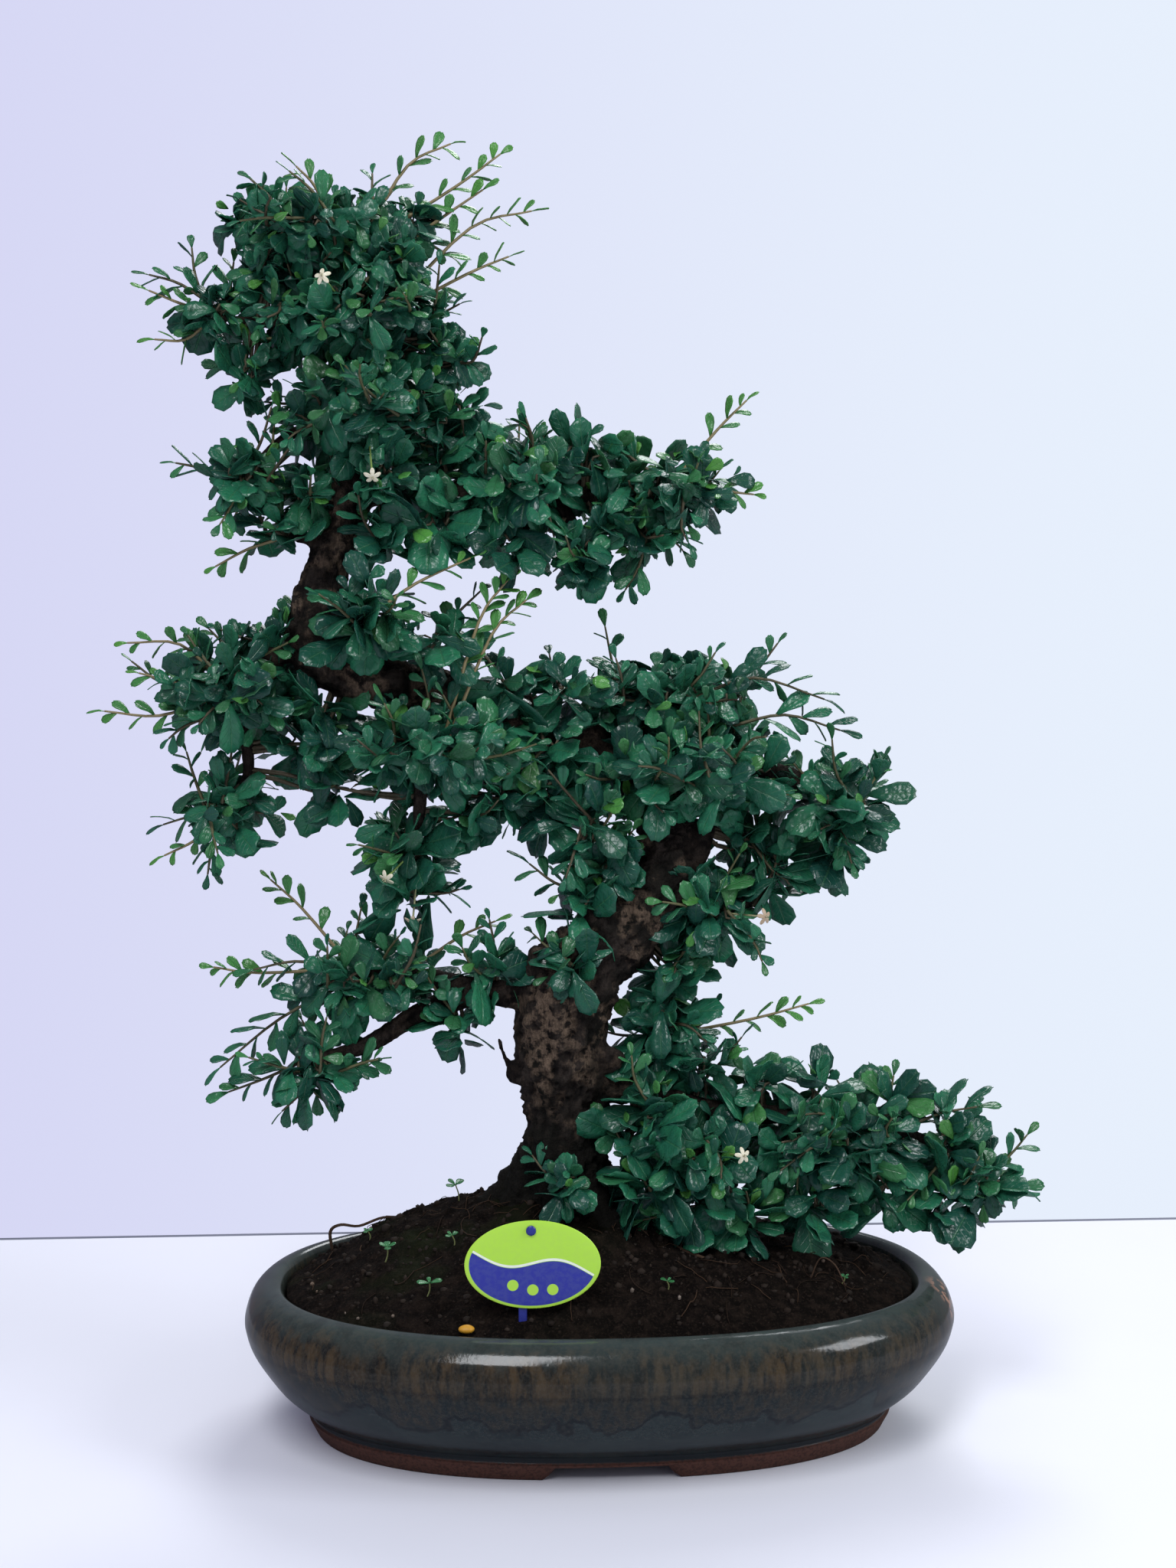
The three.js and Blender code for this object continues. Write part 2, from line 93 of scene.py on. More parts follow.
def patches(points, size, seed, level, gain, layers=3):
    # where rough noise n rises past a level l: g (n - l), kept from 0 to 1
    return np.clip((roughNoise(points, size, seed, layers) - level) * gain, 0, 1)


def turns(count):
    # angles spread evenly once round: 2 pi i / n
    return np.arange(count) * 2 * np.pi / count


def turned(turn, a, b):
    # a direction in the plane of a and b at each angle: a cos t + b sin t
    return np.cos(turn)[..., None] * a + np.sin(turn)[..., None] * b


def smoothLine(points, count):
    # a curve through the points: each stretch is the cubic that passes on by its neighbours' slope
    line = np.asarray(points, float)
    line = np.vstack([2 * line[0] - line[1], line, 2 * line[-1] - line[-2]])
    spot = np.linspace(0, len(points) - 1 - 1e-6, count)
    start = spot.astype(int)
    t = (spot - start)[:, None]
    a, b, c, d = line[start], line[start + 1], line[start + 2], line[start + 3]
    return 0.5 * (2 * b + (c - a) * t + (2 * a - 5 * b + 4 * c - d) * t**2 + (3 * b - a - 3 * c + d) * t**3)


# shapes
def shape(points, quads=(), tris=(), uv=0, tint=0):
    # points with their faces, and a uv and a tint at each point
    count = len(points)
    return {
        "points": np.asarray(points, float), "quads": np.asarray(quads, int).reshape(-1, 4),
        "tris": np.asarray(tris, int).reshape(-1, 3), "uv": np.broadcast_to(uv, (count, 2)),
        "tint": np.broadcast_to(tint, (count, 3)),
    }


def join(shapes):
    # several shapes as one: faces count on from the points of the shapes before
    starts = np.cumsum([0] + [len(one["points"]) for one in shapes[:-1]])
    joined = {key: np.vstack([one[key] for one in shapes]) for key in ("points", "uv", "tint")}
    for key in ("quads", "tris"):
        joined[key] = np.vstack([one[key] + start for one, start in zip(shapes, starts)])
    return joined


def gridQuads(rows, columns, closed):
    # quads of a grid of points, row by row; closed joins the last column to the first
    i, j = np.meshgrid(np.arange(rows - 1), np.arange(columns if closed else columns - 1), indexing="ij")
    a, b = i * columns + j, i * columns + (j + 1) % columns
    return np.stack([a, b, b + columns, a + columns], axis=-1).reshape(-1, 4)


def closedRings(rings, low, high, tint=0, flip=False):
    # rings joined by quads, the first ring fanned to the low point and the last to the high one
    many, sides = rings.shape[:2]
    count = many * sides
    a = np.arange(sides)
    b = (a + 1) % sides
    top = count - sides
    fans = [np.stack([np.full(sides, count), b, a], 1), np.stack([np.full(sides, count + 1), a + top, b + top], 1)]
    quads, tris = gridQuads(many, sides, True), np.vstack(fans)
    if flip:
        quads, tris = quads[:, ::-1], tris[:, [0, 2, 1]]
    return shape(np.vstack([rings.reshape(-1, 3), low, high]), quads, tris, 0, tint)


def tube(line, sides, tint=0):
    # rings of points square to a line of (x, y, z, radius), closed by a point 0.6 radius beyond each end
    spine, radius = line[:, :3], line[:, 3]
    ahead = unit(np.gradient(spine, axis=0))
    least = np.eye(3)[np.argmin(np.abs(ahead).mean(axis=0))]
    side = unit(np.cross(ahead, least))
    ring = turned(turns(sides), side[:, None], np.cross(ahead, side)[:, None])
    ends = [spine[0] - ahead[0] * radius[0] * 0.6, spine[-1] + ahead[-1] * radius[-1] * 0.6]
    return closedRings(spine[:, None] + radius[:, None, None] * ring, *ends, tint)


def ballRings(tilt, turn):
    # rings of a ball of radius 1: (cos a cos b, cos a sin b, sin a)
    flat, rise = np.cos(tilt)[:, None], np.sin(tilt)[:, None]
    return np.stack([flat * np.cos(turn), flat * np.sin(turn), np.repeat(rise, len(turn), axis=1)], axis=-1)


def lumps(middles, sizes, tints, seed, sides=5, rings=2, rough=0.22):
    # small stones: a ball of few points, each pushed in or out by chance, stretched to each size
    rng = np.random.default_rng(seed)
    tilt = ((np.arange(rings) + 0.5) / rings * np.pi - np.pi / 2) * (0.68 if rings == 2 else 1)
    stone = closedRings(ballRings(tilt, turns(sides)), [0, 0, -1], [0, 0, 1])
    count, each = len(middles), len(stone["points"])
    push = rng.uniform(1 - rough, 1 + rough, (count, each, 1))
    points = np.asarray(middles)[:, None] + stone["points"] * push * np.asarray(sizes)[:, None]
    step = (np.arange(count) * each)[:, None, None]
    return shape(points.reshape(-1, 3), stone["quads"] + step, stone["tris"] + step, 0, np.repeat(tints, each, axis=0))


def addObject(name, data):
    # an object for a mesh, a lamp or a camera, linked to the scene
    made = bpy.data.objects.new(name, data)
    bpy.context.scene.collection.objects.link(made)
    return made


def makePiece(name, form, finish, nodes=(), smooth=True, thickness=0):
    # a form as a mesh in the row frame, with its uv map and tint; a thickness in mm is grown under it
    mesh = bpy.data.meshes.new(name)
    corners = np.concatenate([form["quads"].ravel(), form["tris"].ravel()])
    sizes = np.repeat([4, 3], [len(form["quads"]), len(form["tris"])]).astype(np.int32)
    mesh.vertices.add(len(form["points"]))
    mesh.vertices.foreach_set("co", toFrame(form["points"]).astype(np.float32).ravel())
    mesh.loops.add(len(corners))
    mesh.loops.foreach_set("vertex_index", corners.astype(np.int32))
    mesh.polygons.add(len(sizes))
    mesh.polygons.foreach_set("loop_start", (np.cumsum(sizes) - sizes).astype(np.int32))
    mesh.polygons.foreach_set("loop_total", sizes)
    mesh.polygons.foreach_set("use_smooth", np.full(len(sizes), smooth))
    mesh.update(calc_edges=True)
    mesh.uv_layers.new(name="UVMap").data.foreach_set("uv", form["uv"][corners].astype(np.float32).ravel())
    tint = mesh.color_attributes.new(name="tint", type="FLOAT_COLOR", domain="POINT")
    full = np.column_stack([form["tint"], np.ones(len(form["points"]))])
    tint.data.foreach_set("color", full.astype(np.float32).ravel())
    piece = addObject(name, mesh)
    mesh.materials.append(finish)
    if thickness:
        skin = piece.modifiers.new("Thickness", "SOLIDIFY")
        skin.thickness, skin.offset = thickness * 0.001, -1
    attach(piece, "root")
    if nodes:
        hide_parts(*nodes)
    return piece


# materials
def newFinish(name, **values):
    # a Principled material with these numbers on its sockets, _ standing for a space
    finish = bpy.data.materials.new(name)
    finish.use_nodes = True
    shader = finish.node_tree.nodes["Principled BSDF"]
    for socket, value in values.items():
        shader.inputs[socket.replace("_", " ")].default_value = value
    return finish, finish.node_tree, shader


def node(tree, kind, inputs=None, **settings):
    # a node with its settings; each input is a number, a colour or another node's output
    made = tree.nodes.new(kind)
    for key, value in settings.items():
        setattr(made, key, value)
    for key, value in (inputs or {}).items():
        if isinstance(value, bpy.types.NodeSocket):
            tree.links.new(value, made.inputs[key])
        else:
            made.inputs[key].default_value = value
    return made


def reckon(tree, operation, a, b=0.0):
    # the result of one math node on a and b
    return node(tree, "ShaderNodeMath", {0: a, 1: b}, operation=operation).outputs[0]


def times(tree, a, b):
    # a b
    return reckon(tree, "MULTIPLY", a, b)


def plus(tree, a, b, share=1):
    # a + b share
    return reckon(tree, "ADD", a, b if share == 1 else times(tree, b, share))


def away(tree, value, level):
    # how far a value is from a level: |v - l|
    return reckon(tree, "ABSOLUTE", plus(tree, value, -level))


def squared(tree, value, scale=1):
    # (v s)^2
    return reckon(tree, "POWER", value if scale == 1 else times(tree, value, scale), 2)


def ramp(tree, value, low, high):
    # 0 below low, 1 above high, smooth between
    limits = {"Value": value, "From Min": low, "From Max": high}
    return node(tree, "ShaderNodeMapRange", limits, interpolation_type="SMOOTHSTEP").outputs[0]


def mix(tree, share, a, b):
    # a (1 - share) + b share
    a, b = ((*colour, 1) if isinstance(colour, tuple) else colour for colour in (a, b))
    return node(tree, "ShaderNodeMix", {0: share, 6: a, 7: b}, data_type="RGBA").outputs[2]


def cover(tree, colour, *layers):
    # layers laid over a colour in turn, each by its mask times an amount
    for mask, amount, over in layers:
        colour = mix(tree, mask if amount == 1 else times(tree, mask, amount), colour, over)
    return colour


def darker(colour, share):
    # a colour times a share
    return tuple(part * share for part in colour)


def split(tree, vector):
    # x, y and z of a vector
    return node(tree, "ShaderNodeSeparateXYZ", {0: vector}).outputs


def tintOf(tree):
    # red, green and blue of the tint at each point
    tint = node(tree, "ShaderNodeAttribute", attribute_name="tint").outputs[0]
    return node(tree, "ShaderNodeSeparateColor", {0: tint}).outputs


def objectPlace(tree, scale=(1, 1, 1), origin=(0, 0, 0)):
    # object coordinates in metres, times a scale, plus an origin
    where = tree.nodes.new("ShaderNodeTexCoord").outputs["Object"]
    return node(tree, "ShaderNodeMapping", {"Vector": where, "Location": origin, "Scale": scale}).outputs[0]


def wire(tree, shader, colour, *bump):
    # the colour goes into the shader, and so does a bump of a height, a strength and a distance in metres
    tree.links.new(colour, shader.inputs["Base Color"])
    if bump:
        bent = node(tree, "ShaderNodeBump", dict(zip(("Height", "Strength", "Distance"), bump)))
        tree.links.new(bent.outputs[0], shader.inputs["Normal"])


def buildMottle():
    # cloudy patches: noise at a scale in patches per metre, cut between a low and a high value
    group = bpy.data.node_groups.new("mottle", "ShaderNodeTree")
    group.interface.new_socket("Place", in_out="INPUT", socket_type="NodeSocketVector")
    for name in ("Scale", "Detail", "Low", "High"):
        group.interface.new_socket(name, in_out="INPUT", socket_type="NodeSocketFloat")
    for name in ("Mask", "Height"):
        group.interface.new_socket(name, in_out="OUTPUT", socket_type="NodeSocketFloat")
    given = group.nodes.new("NodeGroupInput").outputs
    inputs = {"Vector": given["Place"], "Scale": given["Scale"], "Detail": given["Detail"], "Roughness": 0.6}
    cloud = node(group, "ShaderNodeTexNoise", inputs).outputs["Fac"]
    out = group.nodes.new("NodeGroupOutput").inputs
    group.links.new(ramp(group, cloud, given["Low"], given["High"]), out["Mask"])
    group.links.new(cloud, out["Height"])
    return group


mottleGroup = buildMottle()


def mottle(tree, place, scale, low, high, detail):
    # the group's mask, and its noise before the cut
    inputs = {"Place": place, "Scale": scale, "Detail": detail, "Low": low, "High": high}
    return node(tree, "ShaderNodeGroup", inputs, node_tree=mottleGroup).outputs


glazeLook = dict(
    lipBrown=(0.062, 0.041, 0.020), lipDark=(0.0085, 0.0085, 0.0068), lipGrey=(0.043, 0.060, 0.054),
    body=(0.0075, 0.0145, 0.0175), bodyPale=(0.024, 0.036, 0.036), run=(0.0075, 0.0130, 0.0150),
    runEdge=(0.0018, 0.0036, 0.0065), crease=(0.0030, 0.0040, 0.0050), fleck=(0.075, 0.070, 0.058),
    topEdge=(0.070, 0.085, 0.085), worn=(0.42, 0.22, 0.14), groove=(0.006, 0.008, 0.010), clay=(0.075, 0.028, 0.018),
    roughness=0.07, coat=0.06, runsFrom=0.057, creaseAt=0.0665, grooveAt=0.0142, footEnds=0.0122,
    wornAt=(0.222, -0.034, 0.083),
)


def glazeFinish(look):
    # the lip is brown down to the crease, and under it darker glaze ran down the belly and stopped in waves
    finish, tree, shader = newFinish("glaze", Specular_IOR_Level=0.36, Coat_Roughness=0.03)
    place = objectPlace(tree)
    height = split(tree, place)[2]
    streaks, streakHeight = mottle(tree, objectPlace(tree, (1, 1, 0.20)), 210, 0.36, 0.64, 6)
    runsDown = mottle(tree, objectPlace(tree, (1, 1, 0.12)), 62, 0.45, 0.62, 4)[0]
    broad = mottle(tree, objectPlace(tree, (1, 1, 0.6)), 16, 0.40, 0.60, 2)[0]
    fine, fineHeight = mottle(tree, place, 520, 0.45, 0.62, 3)
    waves = mottle(tree, objectPlace(tree, (1, 1, 0.02)), 26, 0.3, 0.7, 3.5)[0]
    runs = plus(tree, height, waves, 0.020)
    run = ramp(tree, runs, look["runsFrom"], look["runsFrom"] + 0.004)
    edge = ramp(tree, away(tree, runs, look["runsFrom"]), 0.0030, 0.0006)
    lip = ramp(tree, plus(tree, height, streakHeight, 0.010), 0.066, 0.075)
    shoulder = ramp(tree, plus(tree, height, runsDown, 0.008), 0.085, 0.099)
    brown = cover(
        tree, look["lipDark"], (streaks, 0.8, look["lipBrown"]), (shoulder, 0.8, look["lipGrey"]),
        (broad, 0.3, look["bodyPale"]), (runsDown, 0.45, look["lipDark"]),
    )
    dark = cover(tree, look["run"], (streaks, 0.3, look["lipBrown"]))
    # painted shade: a dark band along the crease where the lip meets the belly
    crease = ramp(tree, away(tree, height, look["creaseAt"]), 0.0030, 0.0)
    top = ramp(tree, height, 0.0935, 0.0968)  # glaze breaks pale over the top edge
    fromWorn = node(
        tree, "ShaderNodeVectorMath", {0: place, 1: tuple(potMiddle + look["wornAt"])}, operation="DISTANCE"
    ).outputs["Value"]
    worn = times(tree, ramp(tree, fromWorn, 0.022, 0.012), mottle(tree, place, 150, 0.50, 0.56, 3)[0])
    groove = ramp(tree, away(tree, height, look["grooveAt"]), 0.004, 0.0008)
    ragged = plus(tree, height, fineHeight, 0.0012)
    bare = ramp(tree, ragged, look["footEnds"] + 0.0012, look["footEnds"])
    clay = mix(tree, fine, look["clay"], darker(look["clay"], 0.55))
    colour = cover(
        tree, look["body"], (streaks, 0.35, look["bodyPale"]), (broad, 0.45, look["bodyPale"]), (run, 1, dark),
        (edge, 0.85, look["runEdge"]), (lip, 1, brown), (crease, 0.5, look["crease"]), (fine, 0.16, look["fleck"]),
        (top, 0.3, look["topEdge"]), (worn, 0.8, look["worn"]), (groove, 0.85, look["groove"]), (bare, 1, clay),
    )
    rough = plus(tree, plus(tree, look["roughness"], bare, 0.75), streakHeight, 0.08)
    tree.links.new(rough, shader.inputs["Roughness"])
    tree.links.new(plus(tree, look["coat"], bare, -look["coat"]), shader.inputs["Coat Weight"])
    bumps = plus(tree, times(tree, streakHeight, 0.5), fineHeight, 0.25)
    wire(tree, shader, colour, bumps, 0.16, 0.0012)
    return finish


soilLook = dict(
    dark=(0.0038, 0.0027, 0.0022), pale=(0.017, 0.0112, 0.0082), grain=(0.030, 0.0205, 0.0145),
    moss=(0.010, 0.014, 0.005),
)


def soilFinish(look):
    # dark earth with paler clods and grains; green in the tint is moss
    finish, tree, shader = newFinish("soil", Roughness=0.95, Specular_IOR_Level=0.06)
    place = objectPlace(tree)
    coarse, coarseHeight = mottle(tree, place, 140, 0.42, 0.66, 6)
    fine, fineHeight = mottle(tree, place, 620, 0.5, 0.72, 3)
    moss = tintOf(tree)[1], 0.8, look["moss"]
    colour = cover(tree, look["dark"], (coarse, 0.6, look["pale"]), (fine, 0.5, look["grain"]), moss)
    wire(tree, shader, colour, plus(tree, coarseHeight, fineHeight, 0.5), 0.8, 0.003)
    return finish


barkLook = dict(
    deep=(0.0055, 0.0038, 0.0034), grey=(0.034, 0.026, 0.021), flake=(0.028, 0.019, 0.014), tan=(0.165, 0.115, 0.078),
    moss=(0.0055, 0.0062, 0.0040),
)


def barkFinish(look):
    # red in the tint is the height of a bark plate, green is moss and a darkening towards the foot, blue is bare light
    # bark, partly painted light as it lies only on the sides that face the light
    finish, tree, shader = newFinish("bark", Roughness=0.88, Specular_IOR_Level=0.16)
    plate, darkened, bare = tintOf(tree)
    place = objectPlace(tree)
    flakes, flakeHeight = mottle(tree, place, 230, 0.42, 0.64, 6)
    fine, fineHeight = mottle(tree, objectPlace(tree, (1, 1, 0.3)), 700, 0.4, 0.65, 4)
    spots = mottle(tree, place, 150, 0.41, 0.57, 6)[0]  # these break up the bare patches
    # the tan of the bare patches is partly painted light: they lie only on the sides that face the light
    colour = cover(
        tree, look["deep"], (ramp(tree, plate, 0.30, 0.62), 1, look["grey"]), (flakes, 0.5, look["flake"]),
        (darkened, 0.82, look["moss"]), (times(tree, bare, spots), 0.9, look["tan"]), (fine, 0.45, look["deep"]),
    )
    wire(tree, shader, colour, plus(tree, flakeHeight, fineHeight, 0.4), 1.0, 0.0045)
    return finish


leafLook = dict(
    dark=(0.0075, 0.050, 0.034), mid=(0.022, 0.165, 0.076), cloud=(0.006, 0.062, 0.052), young=(0.085, 0.290, 0.040),
    rib=(0.060, 0.190, 0.075), roughness=0.20, veins=44, slant=26,
)


def leafFinish(look):
    # red in the tint is each leaf's own shade, green how young it is; side veins are a sine that slants off the rib
    finish, tree, shader = newFinish("leaf")
    shade, young, _ = tintOf(tree)
    u, v, _ = split(tree, node(tree, "ShaderNodeUVMap", uv_map="UVMap").outputs[0])
    across = away(tree, u, 0.5)
    rib = ramp(tree, across, 0.045, 0.008)
    wave = reckon(tree, "SINE", plus(tree, times(tree, v, look["veins"]), across, -look["slant"]))
    veins = ramp(tree, wave, 0.80, 1.0)
    cloud, cloudHeight = mottle(tree, objectPlace(tree), 110, 0.35, 0.65, 2)
    colour = cover(
        tree, look["dark"], (shade, 1, look["mid"]), (cloud, 0.3, look["cloud"]), (young, 1, look["young"]),
        (rib, 0.3, look["rib"]), (veins, 0.08, look["rib"]),
    )
    tree.links.new(plus(tree, look["roughness"], cloudHeight, 0.16), shader.inputs["Roughness"])
    grooves = plus(tree, times(tree, rib, -1), veins, -0.35)
    wire(tree, shader, colour, plus(tree, grooves, cloudHeight, 3.5), 0.5, 0.0012)
    return finish


def grainFinish(name, base, scale, detail, bump, layers, **values):
    # a base colour, layers over it by the grain or by red, green or blue of the tint, and a bump of the grain
    finish, tree, shader = newFinish(name, **values)
    grain, grainHeight = mottle(tree, objectPlace(tree), scale, 0.35, 0.65, detail)
    masks = {"grain": grain}
    if any(mask != "grain" for mask, _, _ in layers):
        masks.update(zip(("red", "green", "blue"), tintOf(tree)))
    colour = cover(tree, base, *((masks[mask], amount, over) for mask, amount, over in layers))
    wire(tree, shader, colour, grainHeight, *bump)
    return finish


def plasticFinish(name, colour, roughness):
    # one colour with slightly darker clouds
    return grainFinish(name, colour, 260, 3, (0.2, 0.0005), [("grain", 0.35, darker(colour, 0.6))], Roughness=roughness)


glaze, soilGround = glazeFinish(glazeLook), soilFinish(soilLook)
bark, leafSkin = barkFinish(barkLook), leafFinish(leafLook)
# stones, crumbs and fibres: red is how pale, green how brown
litter = grainFinish("litter", (0.008, 0.0055, 0.0045), 500, 3, (0.5, 0.0008), [
    ("green", 1, (0.10, 0.055, 0.030)), ("red", 1, (0.42, 0.36, 0.30)), ("grain", 0.4, (0.02, 0.014, 0.01)),
], Roughness=0.85, Specular_IOR_Level=0.12)
# green is how green the stem still is, blue how tan
twigSkin = grainFinish("twig", (0.045, 0.030, 0.020), 400, 3, (0.5, 0.0006), [
    ("grain", 1, (0.085, 0.058, 0.038)), ("green", 1, (0.20, 0.23, 0.075)), ("blue", 1, (0.33, 0.215, 0.125)),
], Roughness=0.7)
# green is stalk and cup, blue is dry and brown
petalSkin = grainFinish("petal", (0.66, 0.60, 0.42), 700, 2, (0.3, 0.0004), [
    ("grain", 1, (0.76, 0.72, 0.56)), ("green", 1, (0.17, 0.26, 0.06)), ("blue", 1, (0.30, 0.17, 0.09)),
], Roughness=0.55)
print("finishes made")

# the pot
potValues = dict(
    halfLength=230, halfDepth=152, innerFloor=170, ovalPower=2.3, around=304, footGap=41, gapSlope=6, floorUnder=8,
    floorTop=16, drains=[-84, 84], drainRadius=12, drainSides=28, uneven=0.5, unevenSize=60, unevenFrom=18,
    sharpAngle=50,
)


def oval(radius, turn, v=potValues):
    # a circle of that radius as an oval: x is r c^(2/n), y is (r - D min(1, r/f)) s^(2/n), keeping the signs
    depth = radius - (v["halfLength"] - v["halfDepth"]) * np.minimum(1, radius / v["innerFloor"])
    bend = lambda part: np.sign(part) * np.abs(part) ** (2 / v["ovalPower"])
    return radius * bend(np.cos(turn)), depth * bend(np.sin(turn))


def potShape(v):
    # rings of the wall's outline, foot, belly, crease, lip and inside, each bent to the oval
    foot = [
        [168.2, 8], [168.7, 1.2], [169.6, 0.2], [171, 0], [183, 0], [184.4, 0.2], [185.3, 1.2], [189.8, 10],
        [189.9, 11.2], [188.6, 12.2], [188.4, 13.2], [190.3, 16.4],
    ]
    belly = smoothLine([[191.5, 17.6], [200, 24.6], [209, 33], [216.5, 43], [223, 53], [226.8, 60.5], [228.6, 66]], 18)
    lip = smoothLine([[229.4, 69.5], [230, 73], [229.5, 78], [226.8, 86], [222.5, 91.5], [217, 95.4],
                      [212, 97], [208.5, 96.4], [206, 93.5], [204.6, 88]], 26)
    inside = smoothLine([[204, 84], [202, 66], [197, 50], [190, 36], [178, 21], [173, 17], [170, 16]], 12)
    wall = np.vstack([foot, belly, lip, inside])
    x, y = oval(wall[:, :1], turns(v["around"])[None])
    z = np.repeat(wall[:, 1:], v["around"], axis=1)
    # a gap with sloping ends in the middle of the front and the back of the foot
    lift = np.clip((v["footGap"] - np.abs(x)) / v["gapSlope"], 0, 1) * v["floorUnder"]
    z = np.maximum(z, np.where(z < v["floorUnder"], lift, 0))
    # the thrower's hand: the wall is never quite even
    place = np.stack([x, y, z], axis=-1).reshape(-1, 3)
    swell = (noise(place * [1, 1, 2.5], v["unevenSize"], 3) - 0.5) * v["uneven"] * (place[:, 2] > v["unevenFrom"])
    place[:, :2] -= unit(place[:, :2]) * np.maximum(swell, 0)[:, None]
    return shape(place, gridQuads(len(wall), v["around"], True))


def closeFloors(piece, v):
    # flat fills with round drain holes: the underside, the floor and the holes' walls
    mesh = piece.data
    work = bmesh.new()
    work.from_mesh(mesh)
    between = (v["floorUnder"] + v["floorTop"]) / 2 * 0.001
    loose = [edge for edge in work.edges if edge.is_boundary]
    low = [edge for edge in loose if edge.verts[0].co.z < between]
    high = [edge for edge in loose if edge.verts[0].co.z >= between]
    turn = turns(v["drainSides"])
    for x in v["drains"]:
        walls = []
        for level, edges in ((v["floorUnder"], low), (v["floorTop"], high)):
            circle = [x + v["drainRadius"] * np.cos(turn), v["drainRadius"] * np.sin(turn), turn * 0 + level]
            ring = [work.verts.new(point) for point in toFrame(np.column_stack(circle))]
            walls.append(list(zip(ring, ring[1:] + ring[:1])))
            edges += [work.edges.new(pair) for pair in walls[-1]]
        for (a, b), (c, d) in zip(*walls):
            work.faces.new((b, a, c, d))
    bmesh.ops.triangle_fill(work, use_beauty=True, edges=low, normal=(0, 0, -1))
    bmesh.ops.triangle_fill(work, use_beauty=True, edges=high, normal=(0, 0, 1))
    bmesh.ops.recalc_face_normals(work, faces=work.faces)
    work.to_mesh(mesh)
    work.free()
    mesh.polygons.foreach_set("use_smooth", np.full(len(mesh.polygons), True))
    mesh.set_sharp_from_angle(angle=math.radians(v["sharpAngle"]))


closeFloors(makePiece("oval_pot", potShape(potValues), glaze, ["pot"]), potValues)
print("pot made")

# the soil
soilValues = dict(
    around=330, rings=88, halfLength=205, halfDepth=127, rim=90, mound=34, rough=6.5, clods=3.6, crumbs=1400, stones=14,
    fibres=150, seed=11, hills=[[22, -20, 0, 45, 45], [11, -85, 15, 45, 35], [9, -132, 28, 34, 36]],
    placedStones=[[-186, -22, 0], [-182, -38, 0], [42, -96, 0], [66, -20, 0], [-150, 20, 0]],
)


def hill(x, y, middleX, middleY, spreadX, spreadY):
    # a round hill: e to the power of minus half the squared distance in spreads
    return np.exp(-(((x - middleX) / spreadX) ** 2 + ((y - middleY) / spreadY) ** 2) / 2)


def soilHeight(x, y, v=soilValues):
    # a mound that falls off with the cube of the distance to the rim, with hills at the trunk and its left root
    power = potValues["ovalPower"]
    share = (np.abs(x) / v["halfLength"]) ** power + (np.abs(y) / v["halfDepth"]) ** power
    share = np.minimum(1, share ** (1 / power))
    roots = sum(height * hill(x, y, *where) for height, *where in v["hills"])
    swell = 1.6 * np.sin(x * 0.13 + y * 0.07) * np.sin(y * 0.17 - x * 0.05) * (1 - share**6)
    return v["rim"] + v["mound"] * (1 - share**3) + roots * (1 - share**6) + swell


def groundAt(points, v=soilValues):
    # the mound's height under each x and y, with clods: the noise's steep tops on broad swells
    flat = points[:, :3] * [1, 1, 0]
    clods = patches(flat, 7, 9, 0.45, 2.6, 2) * (0.3 + noise(flat, 19, 4))
    rough = (roughNoise(flat, 18, 5, 4) - 0.5) * v["rough"]
    return soilHeight(points[:, 0], points[:, 1]) + rough + (clods - 0.35) * v["clods"]


def soilShape(v):
    # rings from the middle of the underside out, up the pot's wall and back over the mound to its top
    under = smoothLine([[30, 19], [165, 19], [177.5, 24], [189, 38], [201.5, 67], [203.6, 84], [203.6, 89]], 16)
    radius = np.concatenate([under[:, 0] - 0.4, np.linspace(203.2, 8, v["rings"])])
    x, y = oval(radius[:, None], turns(v["around"])[None])
    rings = np.stack([x, y, x * 0], axis=-1)
    rings[..., 2] = groundAt(rings.reshape(-1, 3)).reshape(x.shape)
    rings[:len(under), :, 2] = under[:, 1:]
    form = closedRings(rings, [0, 0, under[0, 1]], [0, 0, soilHeight(0, 0)])
    x, y, _ = form["points"].T
    moss = patches(form["points"], 30, 21, 0.52, 7) * hill(x, y, -110, 10, 80, 60)
    form["tint"] = np.column_stack([moss * 0, moss, moss * 0])
    return form


def scatter(rng, count, reach=197):
    # places spread evenly over the mound: the root of a chance share of the radius, at a chance turn
    x, y = oval(reach * np.sqrt(rng.uniform(0.01, 1, count)), rng.uniform(0, 2 * np.pi, count))
    place = np.column_stack([x, y, x * 0])
    place[:, 2] = groundAt(place)
    return place


